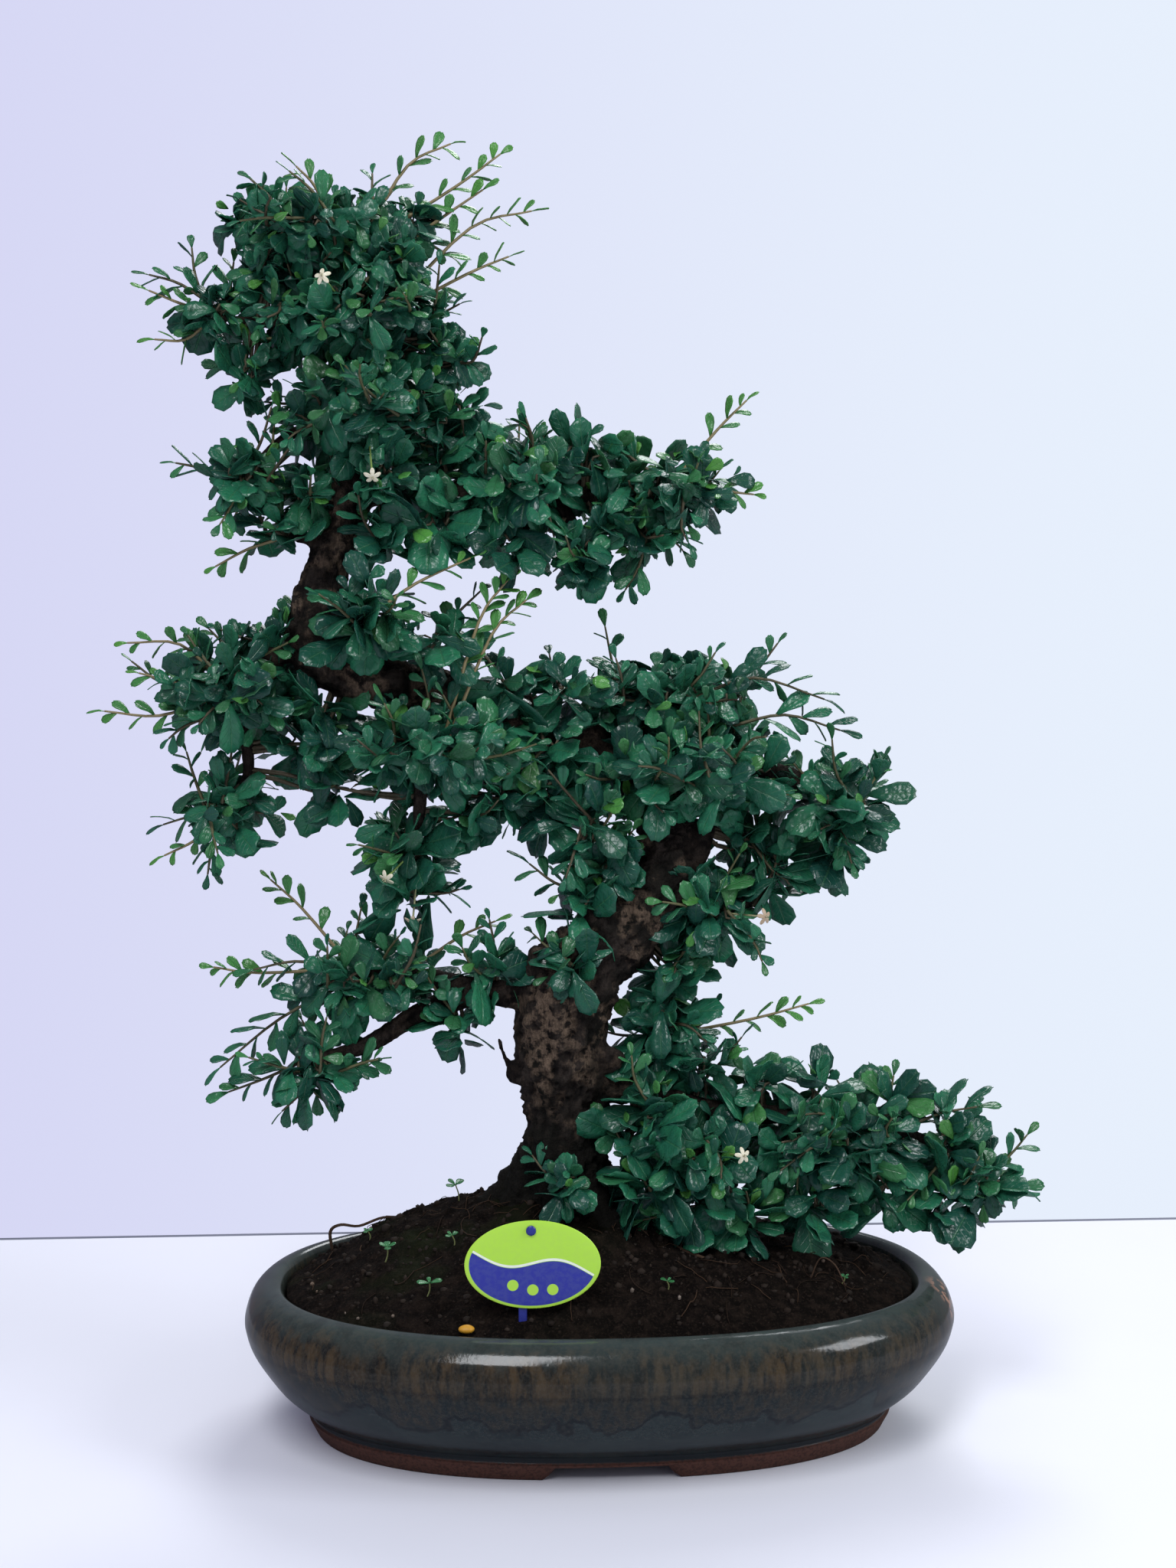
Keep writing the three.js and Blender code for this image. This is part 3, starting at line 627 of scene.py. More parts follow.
def soilLitter(v):
    # dark crumbs, a few pale stones and fine root fibres that lie on the mound
    rng = np.random.default_rng(v["seed"])
    many = v["crumbs"]
    crumbAt = scatter(rng, many)
    crumbSize = (0.6 + 2.2 * rng.uniform(0, 1, (many, 1)) ** 3) * rng.uniform(0.6, 1.4, (many, 3))
    crumbTint = np.column_stack([rng.uniform(0, 0.04, many), rng.uniform(0, 0.35, many) ** 2, np.zeros(many)])
    stoneAt = np.vstack([scatter(rng, v["stones"]), v["placedStones"]])
    stoneAt[:, 2] = groundAt(stoneAt) + 0.8
    many = len(stoneAt)
    stoneSize = rng.uniform(0.9, 2.3, (many, 1)) * rng.uniform(0.6, 1.2, (many, 3))
    stoneTint = np.column_stack([rng.uniform(0.15, 0.6, many), rng.uniform(0.2, 1, many), np.zeros(many)])
    parts = [lumps(crumbAt, crumbSize, crumbTint, 1), lumps(stoneAt, stoneSize, stoneTint, 2)]
    for x, y, _ in scatter(rng, v["fibres"], 190):
        heading, bendy = rng.uniform(0, 2 * np.pi), rng.uniform(-1.2, 1.2)
        reach = np.linspace(0, rng.uniform(8, 26), 6)
        turn = heading + bendy * reach / 20
        line = np.column_stack([x + reach * np.cos(turn), y + reach * np.sin(turn), reach * 0, reach * 0 + 0.3])
        line[:, 2] = groundAt(line) + 0.6 + np.sin(reach / reach[-1] * np.pi) * rng.uniform(0, 3)
        parts.append(tube(line * [1, 1, 1, rng.uniform(0.6, 1.2)], 3, [0, rng.uniform(0.1, 0.75), 0]))
    return join(parts)


makePiece("soil_mound", soilShape(soilValues), soilGround, ["soil"])
makePiece("soil_litter", soilLitter(soilValues), litter)
print("soil made")

# the wood: middle lines from the thick end to the thin one, each point x, y, z and radius
trunkLine = [
    [-12, 0, 66, 34], [-14, 0, 104, 37], [-17, 0, 136, 34], [-21, 0, 166, 29], [-22, 0, 206, 26], [-26, 0, 250, 30],
    [-20, -4, 288, 29], [8, -8, 318, 24], [36, 0, 350, 21], [45, 12, 384, 20], [30, 24, 416, 19], [-6, 28, 437, 18],
    [-52, 22, 457, 17], [-102, 10, 474, 17], [-148, 0, 483, 17], [-178, -5, 497, 16], [-183, -5, 521, 15],
    [-175, 0, 549, 15], [-162, 5, 581, 13], [-156, 10, 616, 12], [-154, 10, 655, 10], [-158, 5, 699, 8],
    [-162, 0, 742, 5], [-165, 0, 772, 3],
]
branchLines = {
    "shoulder": [[-154, 10, 604, 9], [-110, 14, 600, 8], [-53, 12, 606, 7], [0, 15, 600, 5.5], [45, 15, 600, 4]],
    "shoulderDrop": [[-30, 12, 604, 5], [-16, 5, 580, 4], [-11, 0, 560, 3]],
    "crownLowLeft": [[-155, 10, 640, 5], [-190, 2, 640, 4], [-222, -8, 614, 3]],
    "crownLeft": [[-158, 5, 695, 4.5], [-205, 2, 706, 3.5], [-248, 0, 711, 2.5]],
    "underCrown": [[-166, 4, 575, 5], [-185, -1, 572, 4], [-198, -4, 575, 3]],
    "trunkFront": [[-186, -5, 524, 5], [-162, -26, 526, 4], [-148, -34, 524, 3]],
    "midLeft": [[-184, -5, 508, 9], [-212, -6, 496, 7], [-240, -5, 480, 4]],
    "midLeftLow": [[-222, -6, 490, 5], [-225, -7, 455, 5], [-224, -6, 425, 4], [-234, -5, 404, 3]],
    "centre": [[-100, 10, 472, 8], [-108, -14, 460, 7], [-112, -22, 436, 5.5], [-116, -17, 400, 4.5],
        [-116, -15, 374, 3]],
    "rightMid": [[44, 14, 392, 12], [64, 20, 414, 10], [100, 16, 424, 8], [140, 8, 414, 6], [166, 5, 404, 4]],
    "rightMidTop": [[20, 26, 422, 8], [36, 30, 450, 6], [50, 30, 474, 4]],
    "rightRiser": [[42, 2, 352, 8], [62, -2, 368, 6.5], [70, 2, 392, 5.5], [74, 12, 416, 4]],
    "bendRight": [[36, 0, 346, 8], [70, -6, 342, 5], [98, -8, 338, 3]],
    "bendLeft": [[16, -8, 326, 6], [-4, -16, 336, 3.5], [-22, -16, 343, 2.5]],
    "lowLeft": [[-30, -2, 276, 11], [-70, -4, 282, 9], [-112, -5, 272, 7], [-150, -12, 251, 6], [-190, -20, 241, 4]],
    "lowLeftTop": [[-66, -4, 282, 7], [-108, -5, 292, 6], [-150, -5, 299, 4]],
    "lowRight": [[-6, 0, 222, 13], [30, -5, 216, 10], [65, -12, 206, 8], [110, -12, 202, 7], [150, -10, 200, 6],
        [190, -10, 192, 5], [226, -10, 174, 4], [252, -10, 160, 3]],
    "lowRightTop": [[22, -3, 218, 6], [36, 6, 234, 4.5], [40, 10, 246, 3]],
    "lowRightIn": [[48, -9, 210, 6], [58, -20, 194, 4.5], [61, -25, 182, 3]],
    "base": [[-26, -22, 150, 4], [-27, -36, 160, 3.5], [-26, -44, 168, 3]],
    "knotLeft": [[-44, -4, 232, 9], [-54, -7, 230, 8], [-60, -8, 229, 5]],
    "knotRight": [[-4, -8, 238, 9], [8, -12, 240, 8], [13, -13, 242, 5]],
    "brokenTwig": [[-56, -8, 230, 3.5], [-63, -8, 243, 2.4], [-66, -8, 254, 1.7]],
}
rootLines = [
    [[-26, 0, 180, 22], [-48, 6, 152, 19], [-78, 14, 126, 14], [-124, 24, 98, 6]],
    [[-18, 2, 150, 22], [-36, -30, 126, 15], [-54, -58, 100, 8]],
    [[-10, -4, 146, 22], [8, -36, 124, 13], [30, -64, 98, 7]],
    [[-8, 0, 150, 24], [26, -6, 130, 16], [66, -14, 108, 9], [92, -18, 92, 6]],
    [[-10, 4, 144, 22], [14, 30, 122, 14], [40, 54, 98, 7]],
    [[-16, 6, 144, 22], [-30, 34, 124, 14], [-48, 62, 98, 7]],
]
barkValues = dict(
    voxel=2.2, rounds=3, moved=0.55, grain=5.5, grainLength=26, ridge=3.6, plate=3.4, swell=9, pits=2.6, seed=5,
    darkBelow=222, bareAt=258, trunkSides=36, branchSides=14, rootSteps=24, trunkSteps=240, twigsFrom=60,
)
trunkSpine = smoothLine(trunkLine, barkValues["trunkSteps"])
branchSpines = [smoothLine(line, len(line) * 10) for line in branchLines.values()]
woodSpine = np.vstack([trunkSpine[barkValues["twigsFrom"]:], *branchSpines])  # all that a twig may start from


def fuseWood(v):
    # all pipes of wood are remeshed as one skin, then each point moves towards the mean of its neighbours
    thin = branchSpines + [smoothLine(line, v["rootSteps"]) for line in rootLines]
    pipes = [tube(trunkSpine, v["trunkSides"])] + [tube(line, v["branchSides"]) for line in thin]
    rough = makePiece("wood_blank", join(pipes), bark)
    remesh = rough.modifiers.new("Remesh", "REMESH")
    remesh.mode, remesh.voxel_size = "VOXEL", v["voxel"] * 0.001
    bpy.context.view_layer.update()
    skin = bpy.data.meshes.new_from_object(rough.evaluated_get(bpy.context.evaluated_depsgraph_get()))
    bpy.data.objects.remove(rough)
    points, corners = np.empty(len(skin.vertices) * 3, np.float32), np.empty(len(skin.loops), np.int32)
    skin.vertices.foreach_get("co", points)
    skin.loops.foreach_get("vertex_index", corners)
    bpy.data.meshes.remove(skin)
    points, quads = fromFrame(points.reshape(-1, 3)), corners.reshape(-1, 4)
    edges = np.vstack([quads[:, [i, (i + 1) % 4]] for i in range(4)])

    def gathered(values):
        # for each point the sum of its neighbours' values, over the edges both ways
        return sum(np.bincount(edges[:, i], values[edges[:, 1 - i]], len(values)) for i in (0, 1))

    many = gathered(np.ones(len(points)))
    for _ in range(v["rounds"]):
        total = np.stack([gathered(points[:, k]) for k in range(3)], axis=1)
        points = points * (1 - v["moved"]) + total / many[:, None] * v["moved"]
    return points, quads


def outward(points, quads):
    # each point's normal: the sum of the crossed diagonals of the quads around it
    cross = np.cross(points[quads[:, 2]] - points[quads[:, 0]], points[quads[:, 3]] - points[quads[:, 1]])
    total = np.zeros_like(points)
    for k in range(4):
        np.add.at(total, quads[:, k], cross)
    return unit(total)


def alongWood(points, batch=4000):
    # the nearest place on the wood's centre lines: how far along it is, the way out from there and its radius
    spine = np.vstack([trunkSpine, *branchSpines])
    length = np.concatenate([[0], np.cumsum(np.linalg.norm(np.diff(spine[:, :3], axis=0), axis=1))])
    nearest = np.empty(len(points), int)
    for start in range(0, len(points), batch):
        part = points[start:start + batch]
        gap = ((part[:, None] - spine[None, :, :3]) ** 2).sum(axis=2) / np.maximum(spine[None, :, 3], 4)
        nearest[start:start + batch] = gap.argmin(axis=1)
    return length[nearest], points - spine[nearest, :3], spine[nearest, 3]


def woodShape(v):
    # bark: long ridges, flat-topped plates with steep sides, swells and pits push the skin along its normal
    points, quads = fuseWood(v)
    normal = outward(points, quads)
    along, out, radius = alongWood(points)
    x, y, z = (unit(out) * np.minimum(radius, 30)[:, None]).T
    grain = np.column_stack([x / v["grain"], (y + z * 0.7) / v["grain"], along / v["grainLength"] + z / v["grain"]])
    ridges = 1 - np.abs(roughNoise(grain, 1.0, v["seed"], 3) * 2 - 1) * 1.6
    crust = patches(points, 7, v["seed"] + 9, 0.42, 3.2, 4)
    swell = roughNoise(points, 34, v["seed"] + 20, 2) - 0.5
    pits = patches(points, 9, v["seed"] + 50, 0.60, 6, 2)
    thick = np.clip((radius - 4) / 16, 0.12, 1)
    push = ((ridges - 0.5) * v["ridge"] + (crust - 0.5) * v["plate"] + swell * v["swell"] - pits * v["pits"]) * thick
    height = np.clip(ridges * 0.4 + crust * 0.35 + 0.1 - pits * 0.4, 0, 1)
    # darker towards the foot of the trunk, below a ragged line
    darkened = np.clip((v["darkBelow"] - points[:, 2] + (roughNoise(points, 22, 71) - 0.5) * 60) / 45, 0, 1)
    moss = np.clip(darkened + patches(points, 24, 41, 0.47, 7) * 0.8 * (thick > 0.3), 0, 1)
    # painted light: the pale bare patches are kept to the faces that turn to the front, where the light falls
    sunny = np.clip(0.35 - normal[:, 1] * 0.9, 0, 1)
    # barest on the trunk's front just above the darker foot
    front = 0.25 + 0.75 * np.exp(-(((points[:, 2] - v["bareAt"]) / 42) ** 2)) * (points[:, 0] > -60)
    bare = np.clip((roughNoise(points, 13, 61) - 0.52 + 0.17 * front) * 7, 0, 1)
    bare = bare * (1 - darkened) * sunny * np.clip(thick * 1.4, 0, 1)
    return shape(points + normal * push[:, None], quads, tint=np.column_stack([height, moss, bare]))


wood = makePiece("trunk_and_branches", woodShape(barkValues), bark, ["trunk"])
print("wood made, faces:", len(wood.data.polygons))

# the leaves
leafValues = dict(
    across=[-1, -0.5, 0, 0.5, 1], along=[0, 0.33, 0.62, 0.83, 1], halfWidth=[0.08, 0.56, 0.96, 0.94, 0.52],
    tip=[0.93, 0.99, 0.97, 1.0, 0.935], length=28, width=0.60, thickness=0.35, spacing=28.5, perWhorl=6, inset=19,
    stem=25, scatter=0.45, sideShare=0.3, shootLength=19, leafGap=9.5, oldness=0.85, oldSize=1.35, tiltLow=84,
    tiltDrop=44, tiltChance=30, sag=0.45, backFrom=14, backFade=12,
)
# each pad: how large its leaves are and how far apart they stand; its clumps by middle and half sizes, first the pad
# and then the tufts beside it; its new shoots and its bare older twigs, each by three points
pads = {
    "crown_top": [0.9, 1.0, [[-170, 2, 765, 59, 58, 27], [-222, 0, 770, 14, 14, 13], [-121, 5, 771, 15, 15, 13]],
        [[[-168, 0, 766], [-178, 0, 790], [-190, 0, 803]], [[-146, 0, 764], [-121, 0, 804], [-94, 5, 819]],
        [[-140, 5, 762], [-92, 5, 792], [-63, 5, 813]], [[-120, 10, 760], [-96, 5, 776], [-74, 0, 790]]]],
    "crown_middle": [0.92, 1.0, [[-158, 5, 712, 72, 72, 40], [-221, 0, 676, 16, 18, 22], [-106, 5, 695, 14, 15, 26],
        [-208, 0, 738, 18, 24, 18], [-130, -14, 742, 28, 28, 16], [-94, 5, 684, 12, 12, 10]],
        [[[-130, 8, 720], [-82, 10, 768], [-43, 15, 780]], [[-130, 2, 714], [-84, 0, 738], [-58, 0, 749]]]],
    "crown_low": [1.0, 1.0, [[-146, 6, 650, 69, 76, 46], [-186, -5, 599, 17, 17, 17], [-136, -20, 614, 20, 20, 20],
        [-88, 5, 655, 14, 15, 20], [-139, -12, 574, 14, 12, 18]]],
    "crown_low_left": [0.9, 1.1, [[-222, -8, 610, 35, 36, 21]]],
    "crown_left": [0.9, 1.15, [[-240, 0, 714, 28, 28, 16]], [[[-244, 0, 713], [-262, 0, 718], [-282, 0, 726]],
        [[-244, 0, 709], [-260, 0, 696], [-279, 0, 696]]], [[[-236, 0, 712], [-262, 2, 730], [-282, 2, 736]]]],
    "shoulder_inner": [1.12, 1.0, [[-50, 12, 610, 52, 62, 35], [-103, -10, 583, 28, 20, 14],
        [-56, -5, 574, 18, 18, 13], [-104, 4, 621, 15, 15, 15], [-10, 12, 627, 28, 20, 12]]],
    "shoulder_outer": [1.1, 1.05, [[44, 15, 606, 54, 50, 33], [30, 12, 576, 17, 16, 13], [-4, 12, 592, 14, 14, 12]],
        [[[48, 15, 610], [76, 15, 643], [95, 15, 662]], [[50, 15, 606], [80, 15, 604], [100, 15, 602]]],
        [[[28, 14, 602], [40, 14, 582], [54, 14, 566]]]],
    "shoulder_drop": [1.1, 1.05, [[-11, 0, 564, 28, 36, 18]]],
    "under_crown": [0.75, 1.15, [[-206, -5, 580, 17, 17, 9]], [[[-200, -5, 573], [-222, -4, 566], [-243, -2, 555]]]],
    "trunk_front": [1.15, 1.0, [[-146, -38, 524, 31, 21, 27], [-103, -15, 510, 24, 20, 18]],
        [[[-142, -38, 526], [-117, -30, 544], [-83, -24, 560]]]],
    "middle_left": [1.05, 1.05, [[-233, -5, 477, 51, 62, 43], [-203, -6, 508, 10, 10, 9],
        [-176, -6, 464, 20, 16, 12]], [[[-240, -4, 482], [-266, 0, 506], [-299, 0, 507]],
        [[-246, -4, 472], [-280, 0, 461], [-314, 0, 464]], [[-246, -4, 476], [-270, 0, 482], [-292, 0, 488]]]],
    "middle_left_low": [1.05, 1.32, [[-236, -5, 403, 42, 42, 33]],
        [[[-236, -5, 400], [-258, 0, 382], [-278, 0, 372]]], [[[-226, -6, 420], [-250, -4, 402], [-278, -2, 392]]]],
    "centre": [1.12, 1.0, [[-110, -26, 442, 61, 48, 32], [-58, 0, 477, 22, 18, 16], [-182, -10, 443, 34, 20, 18],
        [-64, -5, 412, 18, 14, 13], [-166, -8, 416, 24, 14, 13], [-88, -10, 399, 14, 12, 11]],
        [[[-100, -26, 448], [-78, -24, 520], [-60, -20, 546]], [[-96, -26, 450], [-70, -24, 512], [-48, -20, 534]]]],
    "centre_drop": [1.15, 1.2, [[-124, -15, 381, 30, 32, 29], [-122, -15, 350, 13, 13, 12]]],
    "right_top": [1.15, 1.0, [[46, 30, 472, 77, 62, 23], [-24, -2, 477, 13, 12, 14]], [],
        [[[60, 12, 470], [100, 10, 484], [146, 8, 470]], [[84, 12, 452], [120, 8, 460], [156, 6, 450]]]],
    "right_middle": [1.18, 1.0, [[58, 18, 424, 82, 78, 40], [-7, -18, 393, 21, 21, 23], [-33, -5, 442, 23, 23, 21],
        [95, 10, 377, 28, 20, 18], [-34, -5, 410, 12, 12, 15]]],
    "right_lobe": [1.22, 1.05, [[157, 5, 403, 43, 50, 34], [152, 5, 378, 25, 20, 14], [112, 0, 362, 12, 12, 12]]],
    "bend_right": [1.2, 1.05, [[68, -2, 334, 43, 54, 33], [44, -5, 299, 22, 14, 12]]],
    "bend_left": [1.05, 1.1, [[-14, -18, 346, 15, 18, 13], [-22, -32, 304, 14, 9, 16], [4, -12, 367, 12, 10, 9]], [],
        [[[-12, -12, 348], [-30, -10, 354], [-46, -8, 366]]]],
    "low_left": [1.05, 1.05, [[-146, -5, 293, 60, 46, 17], [-71, -5, 297, 22, 10, 10], [-92, -10, 266, 15, 15, 14]],
        [[[-160, -4, 300], [-191, 0, 337], [-211, 0, 356]], [[-160, -4, 299], [-219, 0, 296], [-248, 0, 300]],
        [[-118, -4, 300], [-91, 0, 318], [-68, 0, 328]]], [[[-158, -5, 292], [-205, -8, 268], [-243, -14, 238]],
        [[-170, -5, 300], [-196, -5, 304], [-222, -5, 299]]]],
    "low_left_tip": [1.0, 1.3, [[-183, -20, 238, 38, 38, 24]], [],
        [[[-182, -18, 246], [-212, -16, 232], [-238, -14, 222]],
        [[-180, -20, 238], [-192, -20, 222], [-204, -18, 210]]]],
    "low_right_top": [1.2, 1.0, [[40, 10, 250, 27, 37, 23], [42, -5, 264, 25, 26, 28], [66, -8, 233, 19, 18, 19],
        [30, -32, 212, 17, 12, 19]], [[[42, 10, 250], [99, 2, 262], [136, 0, 272]]]],
    "low_right_inner": [1.3, 1.0, [[62, -26, 180, 47, 51, 37], [16, -25, 192, 20, 20, 24], [91, -30, 136, 23, 20, 19],
        [30, -34, 164, 17, 14, 14], [56, -32, 155, 16, 14, 10]]],
    "low_right": [1.25, 1.0, [[148, -10, 184, 70, 54, 28], [182, -10, 152, 24, 18, 14], [142, -8, 215, 18, 14, 8],
        [187, -5, 202, 26, 12, 9], [225, -10, 168, 16, 16, 22], [137, -25, 148, 16, 14, 11],
        [104, -8, 222, 17, 14, 11], [226, -8, 190, 16, 14, 9]], [],
        [[[196, -10, 190], [222, -8, 200], [246, -8, 204]]]],
    "low_right_tip": [1.15, 1.05, [[246, -10, 156, 32, 28, 14], [226, -12, 147, 13, 12, 8]], [],
        [[[236, -10, 160], [262, -8, 154], [280, -6, 147]]]],
    "trunk_base": [0.72, 1.0, [[-26, -46, 168, 13, 13, 12]]],
}


def leaves(root, along, facing, length, width, fold, droop, tint, v=leafValues):
    # a grid on each blade, u across and t along it: half width by a table, a notched tip row, and the face raised
    # by f w (0.9 |u| - 0.75 u^4) for the fold less d l t^2 for the droop
    along = unit(along)
    side = unit(np.cross(along, facing))
    root, along, side, face, length, width, fold, droop = (
        part[:, None, None] for part in (root, along, side, np.cross(side, along), length, width, fold, droop)
    )
    u, t = np.array(v["across"]), np.array(v["along"])
    wide = np.array(v["halfWidth"])[:, None] * u
    far = np.repeat(t[:, None], len(u), axis=1)
    far[-1] = v["tip"]
    x, y = wide * width / 2, far * length
    z = fold * width * (np.abs(wide) * 0.9 - wide**4 * 0.75) - droop * length * far**2
    points = root + x[..., None] * side + y[..., None] * along + z[..., None] * face
    count, size = len(root), far.size
    quads = gridQuads(len(t), len(u), False) + (np.arange(count) * size)[:, None, None]
    uv = np.tile(np.column_stack([np.tile(u * 0.5 + 0.5, len(t)), far.ravel()]), (count, 1))
    return shape(points.reshape(-1, 3), quads, (), uv, np.repeat(tint, size, axis=0))


def whorls(places, axes, middle, size, rng, v=leafValues):
    # leaves up a short stem, a golden turn apart: the lower ones long and flat, the top ones small and upright;
    # their faces turn to the front, or to the back behind the pad's middle
    many, each = len(places), v["perWhorl"]
    total = many * each
    order = np.tile(np.arange(each), many)
    share = order / (each - 1)
    axis = np.repeat(unit(axes), each, axis=0)
    flat = unit(np.cross(axis, [0.31, 0.87, 0.38]))
    turn = order * goldenTurn + np.repeat(rng.uniform(0, fullTurn, many), each) + rng.uniform(-0.5, 0.5, total)
    tilt = np.radians(v["tiltLow"] - v["tiltDrop"] * share**1.5 + rng.uniform(-v["tiltChance"], v["tiltChance"], total))
    along = turned(tilt, axis, turned(turn, flat, np.cross(axis, flat)))
    along[:, 2] -= rng.uniform(0.0, v["sag"], total) * (1 - share)
    vigour = np.repeat(rng.uniform(0.74, 1.1, many), each)
    length = v["length"] * size * vigour * (1.04 - 0.58 * share**2) * rng.uniform(0.70, 1.2, total)
    depth = np.clip((np.repeat(places[:, 1], each) - middle[1] - v["backFrom"]) / v["backFade"], -1, 1)
    facing = axis * 0.55 + np.array([0, 0, 0.4]) + rng.uniform(-0.65, 0.65, (total, 3))
    facing[:, 1] += depth * 0.7
    root = np.repeat(places, each, axis=0) + axis * ((share - 0.6) * v["stem"] * size)[:, None]
    fresh = np.clip(share**3 * rng.uniform(-1.1, 0.85, total), 0, 1)
    shade = rng.uniform(0, 1, total) ** 1.1
    width = length * v["width"] * rng.uniform(0.75, 1.2, total)
    fold, droop = rng.uniform(0.0, 0.3, total), rng.uniform(-0.05, 0.4, total)
    return leaves(root, along, facing, length, width, fold, droop, np.column_stack([shade, fresh, shade * 0]))


def padArea(half):
    # area of an ellipsoid, by the mean of the products of its half sizes to the power of 1.6
    a, b, c = half
    return 4 * math.pi * (((a * b) ** 1.6 + (a * c) ** 1.6 + (b * c) ** 1.6) / 3) ** (1 / 1.6)


def padPlaces(middle, half, size, spread, rng, v=leafValues):
    # twig tips on a golden spiral over the pad, fewer below it, and some inside it
    half = np.array(half, float)
    count = max(4, int(padArea(half) / (v["spacing"] * size * spread) ** 2))
    order = np.arange(count) + 0.5
    lift = 1 - 2 * order / count
    turn = order * goldenTurn + rng.uniform(0, fullTurn)
    ring = np.sqrt(1 - lift**2)
    out = np.column_stack([ring * np.cos(turn), ring * np.sin(turn), lift])
    out = out[(out[:, 2] > -0.45) | (rng.uniform(0, 1, count) < 0.55)]
    reach = np.maximum(half - v["inset"] * size, half * 0.45)
    places = out * reach * rng.uniform(0.76, 1.06, (len(out), 1))
    inner = out[::5] * reach * rng.uniform(0.3, 0.65, (len(out[::5]), 1))
    axes = unit(out / half * half.mean() * [1, 1, 0.9] + [0, 0, 0.5])
    axes = unit(np.vstack([axes, axes[::5]]) + rng.normal(0, v["scatter"], (len(out) + len(inner), 3)))
    return np.vstack([places, inner]) + middle, axes


def twigTo(place, axis, middle, rng):
    # from the nearest wood, out towards the pad, and up into the whorl
    aim = place * 0.45 + np.array(middle) * 0.55
    spine = woodSpine[:, :3]
    gap = np.linalg.norm(spine - aim, axis=1) + np.linalg.norm(spine - place, axis=1) * 0.5
    start = spine[gap.argmin()]
    bend = (start + place) / 2 - axis * 3 + rng.uniform(-3, 3, 3)
    line = [[*start, 1.9], [*bend, 1.3], [*(place - axis * 5), 0.9], [*place, 0.8]]
    return tube(smoothLine(line, 5), 4, [0, 0.1, 0])


def shootShape(line, rng, old=0.0, size=1.0, v=leafValues):
    # a thin stem with small leaves in turn on its two sides, smaller towards the tip; old ones are darker
    spine = smoothLine(np.column_stack([line, [1.2, 0.95, 0.6]]), 9)
    stem = tube(spine, 4, [0, 0.7 - 0.6 * min(old, 1), 0.5 if old == 0 else 0])
    steps = np.diff(spine[:, :3], axis=0)
    count = max(5, int(np.linalg.norm(steps, axis=1).sum() / v["leafGap"]))
    share = np.linspace(0.30, 0.999, count)
    at = (share * len(steps)).astype(int)
    part = (share * len(steps) - at)[:, None]
    root = spine[at, :3] * (1 - part) + spine[at + 1, :3] * part
    ahead = unit(spine[at + 1, :3] - spine[at, :3])
    flip = np.where(np.arange(count) % 2, 1.0, -1.0)[:, None]
    side = unit(np.cross(ahead, [0, 1, 0.2])) * flip + np.array([0, 0.5, 0]) * rng.uniform(-1, 1, (count, 1))
    along = ahead * rng.uniform(0.7, 1.1, (count, 1)) + side * rng.uniform(0.5, 0.9, (count, 1))
    along[-1] = ahead[-1]
    length = (v["shootLength"] - 8.5 * share) * rng.uniform(0.75, 1.2, count) * size
    facing = np.array([0, -0.5, 1.0]) + rng.uniform(-0.6, 0.6, (count, 3))
    fresh = np.clip((0.35 + 0.5 * share) * (1 - old) + rng.uniform(-0.25, 0.12, count), 0, 1)
    tint = np.column_stack([rng.uniform(0.3, 1, count), fresh, fresh * 0])
    fold, droop = rng.uniform(0.1, 0.3, count), rng.uniform(0, 0.3, count)
    return stem, leaves(root, along, facing, length, length * 0.5, fold, droop, tint)


def sideShoots(places, axes, rng, share=leafValues["sideShare"]):
    # short older shoots that break out of the pad between the whorls, each a bent line out and up
    chosen = np.flatnonzero(rng.uniform(0, 1, len(places)) < share)
    parts = []
    for one in chosen:
        out = unit(axes[one] + rng.normal(0, 0.4, 3))
        reach = rng.uniform(24, 40)
        middle = places[one] + out * reach * 0.5 + rng.normal(0, 2, 3)
        line = [places[one] - out * 6, middle, places[one] + out * reach + [0, 0, rng.uniform(-3, 7)]]
        parts.append(shootShape(line, rng, rng.uniform(0.55, 1.1), rng.uniform(0.85, 1.15)))
    return parts


def foliage(rng, size, spread, clumps, shoots=(), olderTwigs=(), v=leafValues):
    # stems and leaves of a pad's clumps, then of its older twigs and its new shoots
    pairs = []
    for clump in clumps:
        middle, half = clump[:3], clump[3:]
        places, axes = padPlaces(middle, half, size, spread, rng)
        stems = join([twigTo(place, axis, middle, rng) for place, axis in zip(places, axes)])
        pairs.append((stems, whorls(places, axes, middle, size, rng)))
        pairs += sideShoots(places, axes, rng)
    pairs += [shootShape(line, rng, v["oldness"], v["oldSize"] * size) for line in olderTwigs]
    pairs += [shootShape(line, rng) for line in shoots]
    return [join(parts) for parts in zip(*pairs)]


twigs = []
leafCount = 0
for number, (name, pad) in enumerate(pads.items()):
    stems, blades = foliage(np.random.default_rng(100 + number), *pad)
    twigs.append(stems)
    leafCount += len(blades["points"]) // (len(leafValues["across"]) * len(leafValues["along"]))
    makePiece("leaves_" + name, blades, leafSkin, ["foliage_" + name], thickness=leafValues["thickness"])
makePiece("twigs", join(twigs), twigSkin)
print("leaves made:", leafCount)

# flowers
flowerValues = dict(radius=5.5, petals=5, sides=60, thickness=0.5, fifth=1.2566)
# each flower: its place, where its stalk starts and how dry it is
flowers = [
    [[-171, -58, 727], [-160, -20, 716], 0], [[-142, -62, 608], [-146, -20, 640], 0],
    [[84, -70, 190], [70, -36, 184], 0], [[-136, -46, 362], [-122, -22, 374], 0],
    [[-120, -36, 334], [-117, -18, 366], 0.5], [[100, -46, 336], [80, -14, 334], 0.7],
]


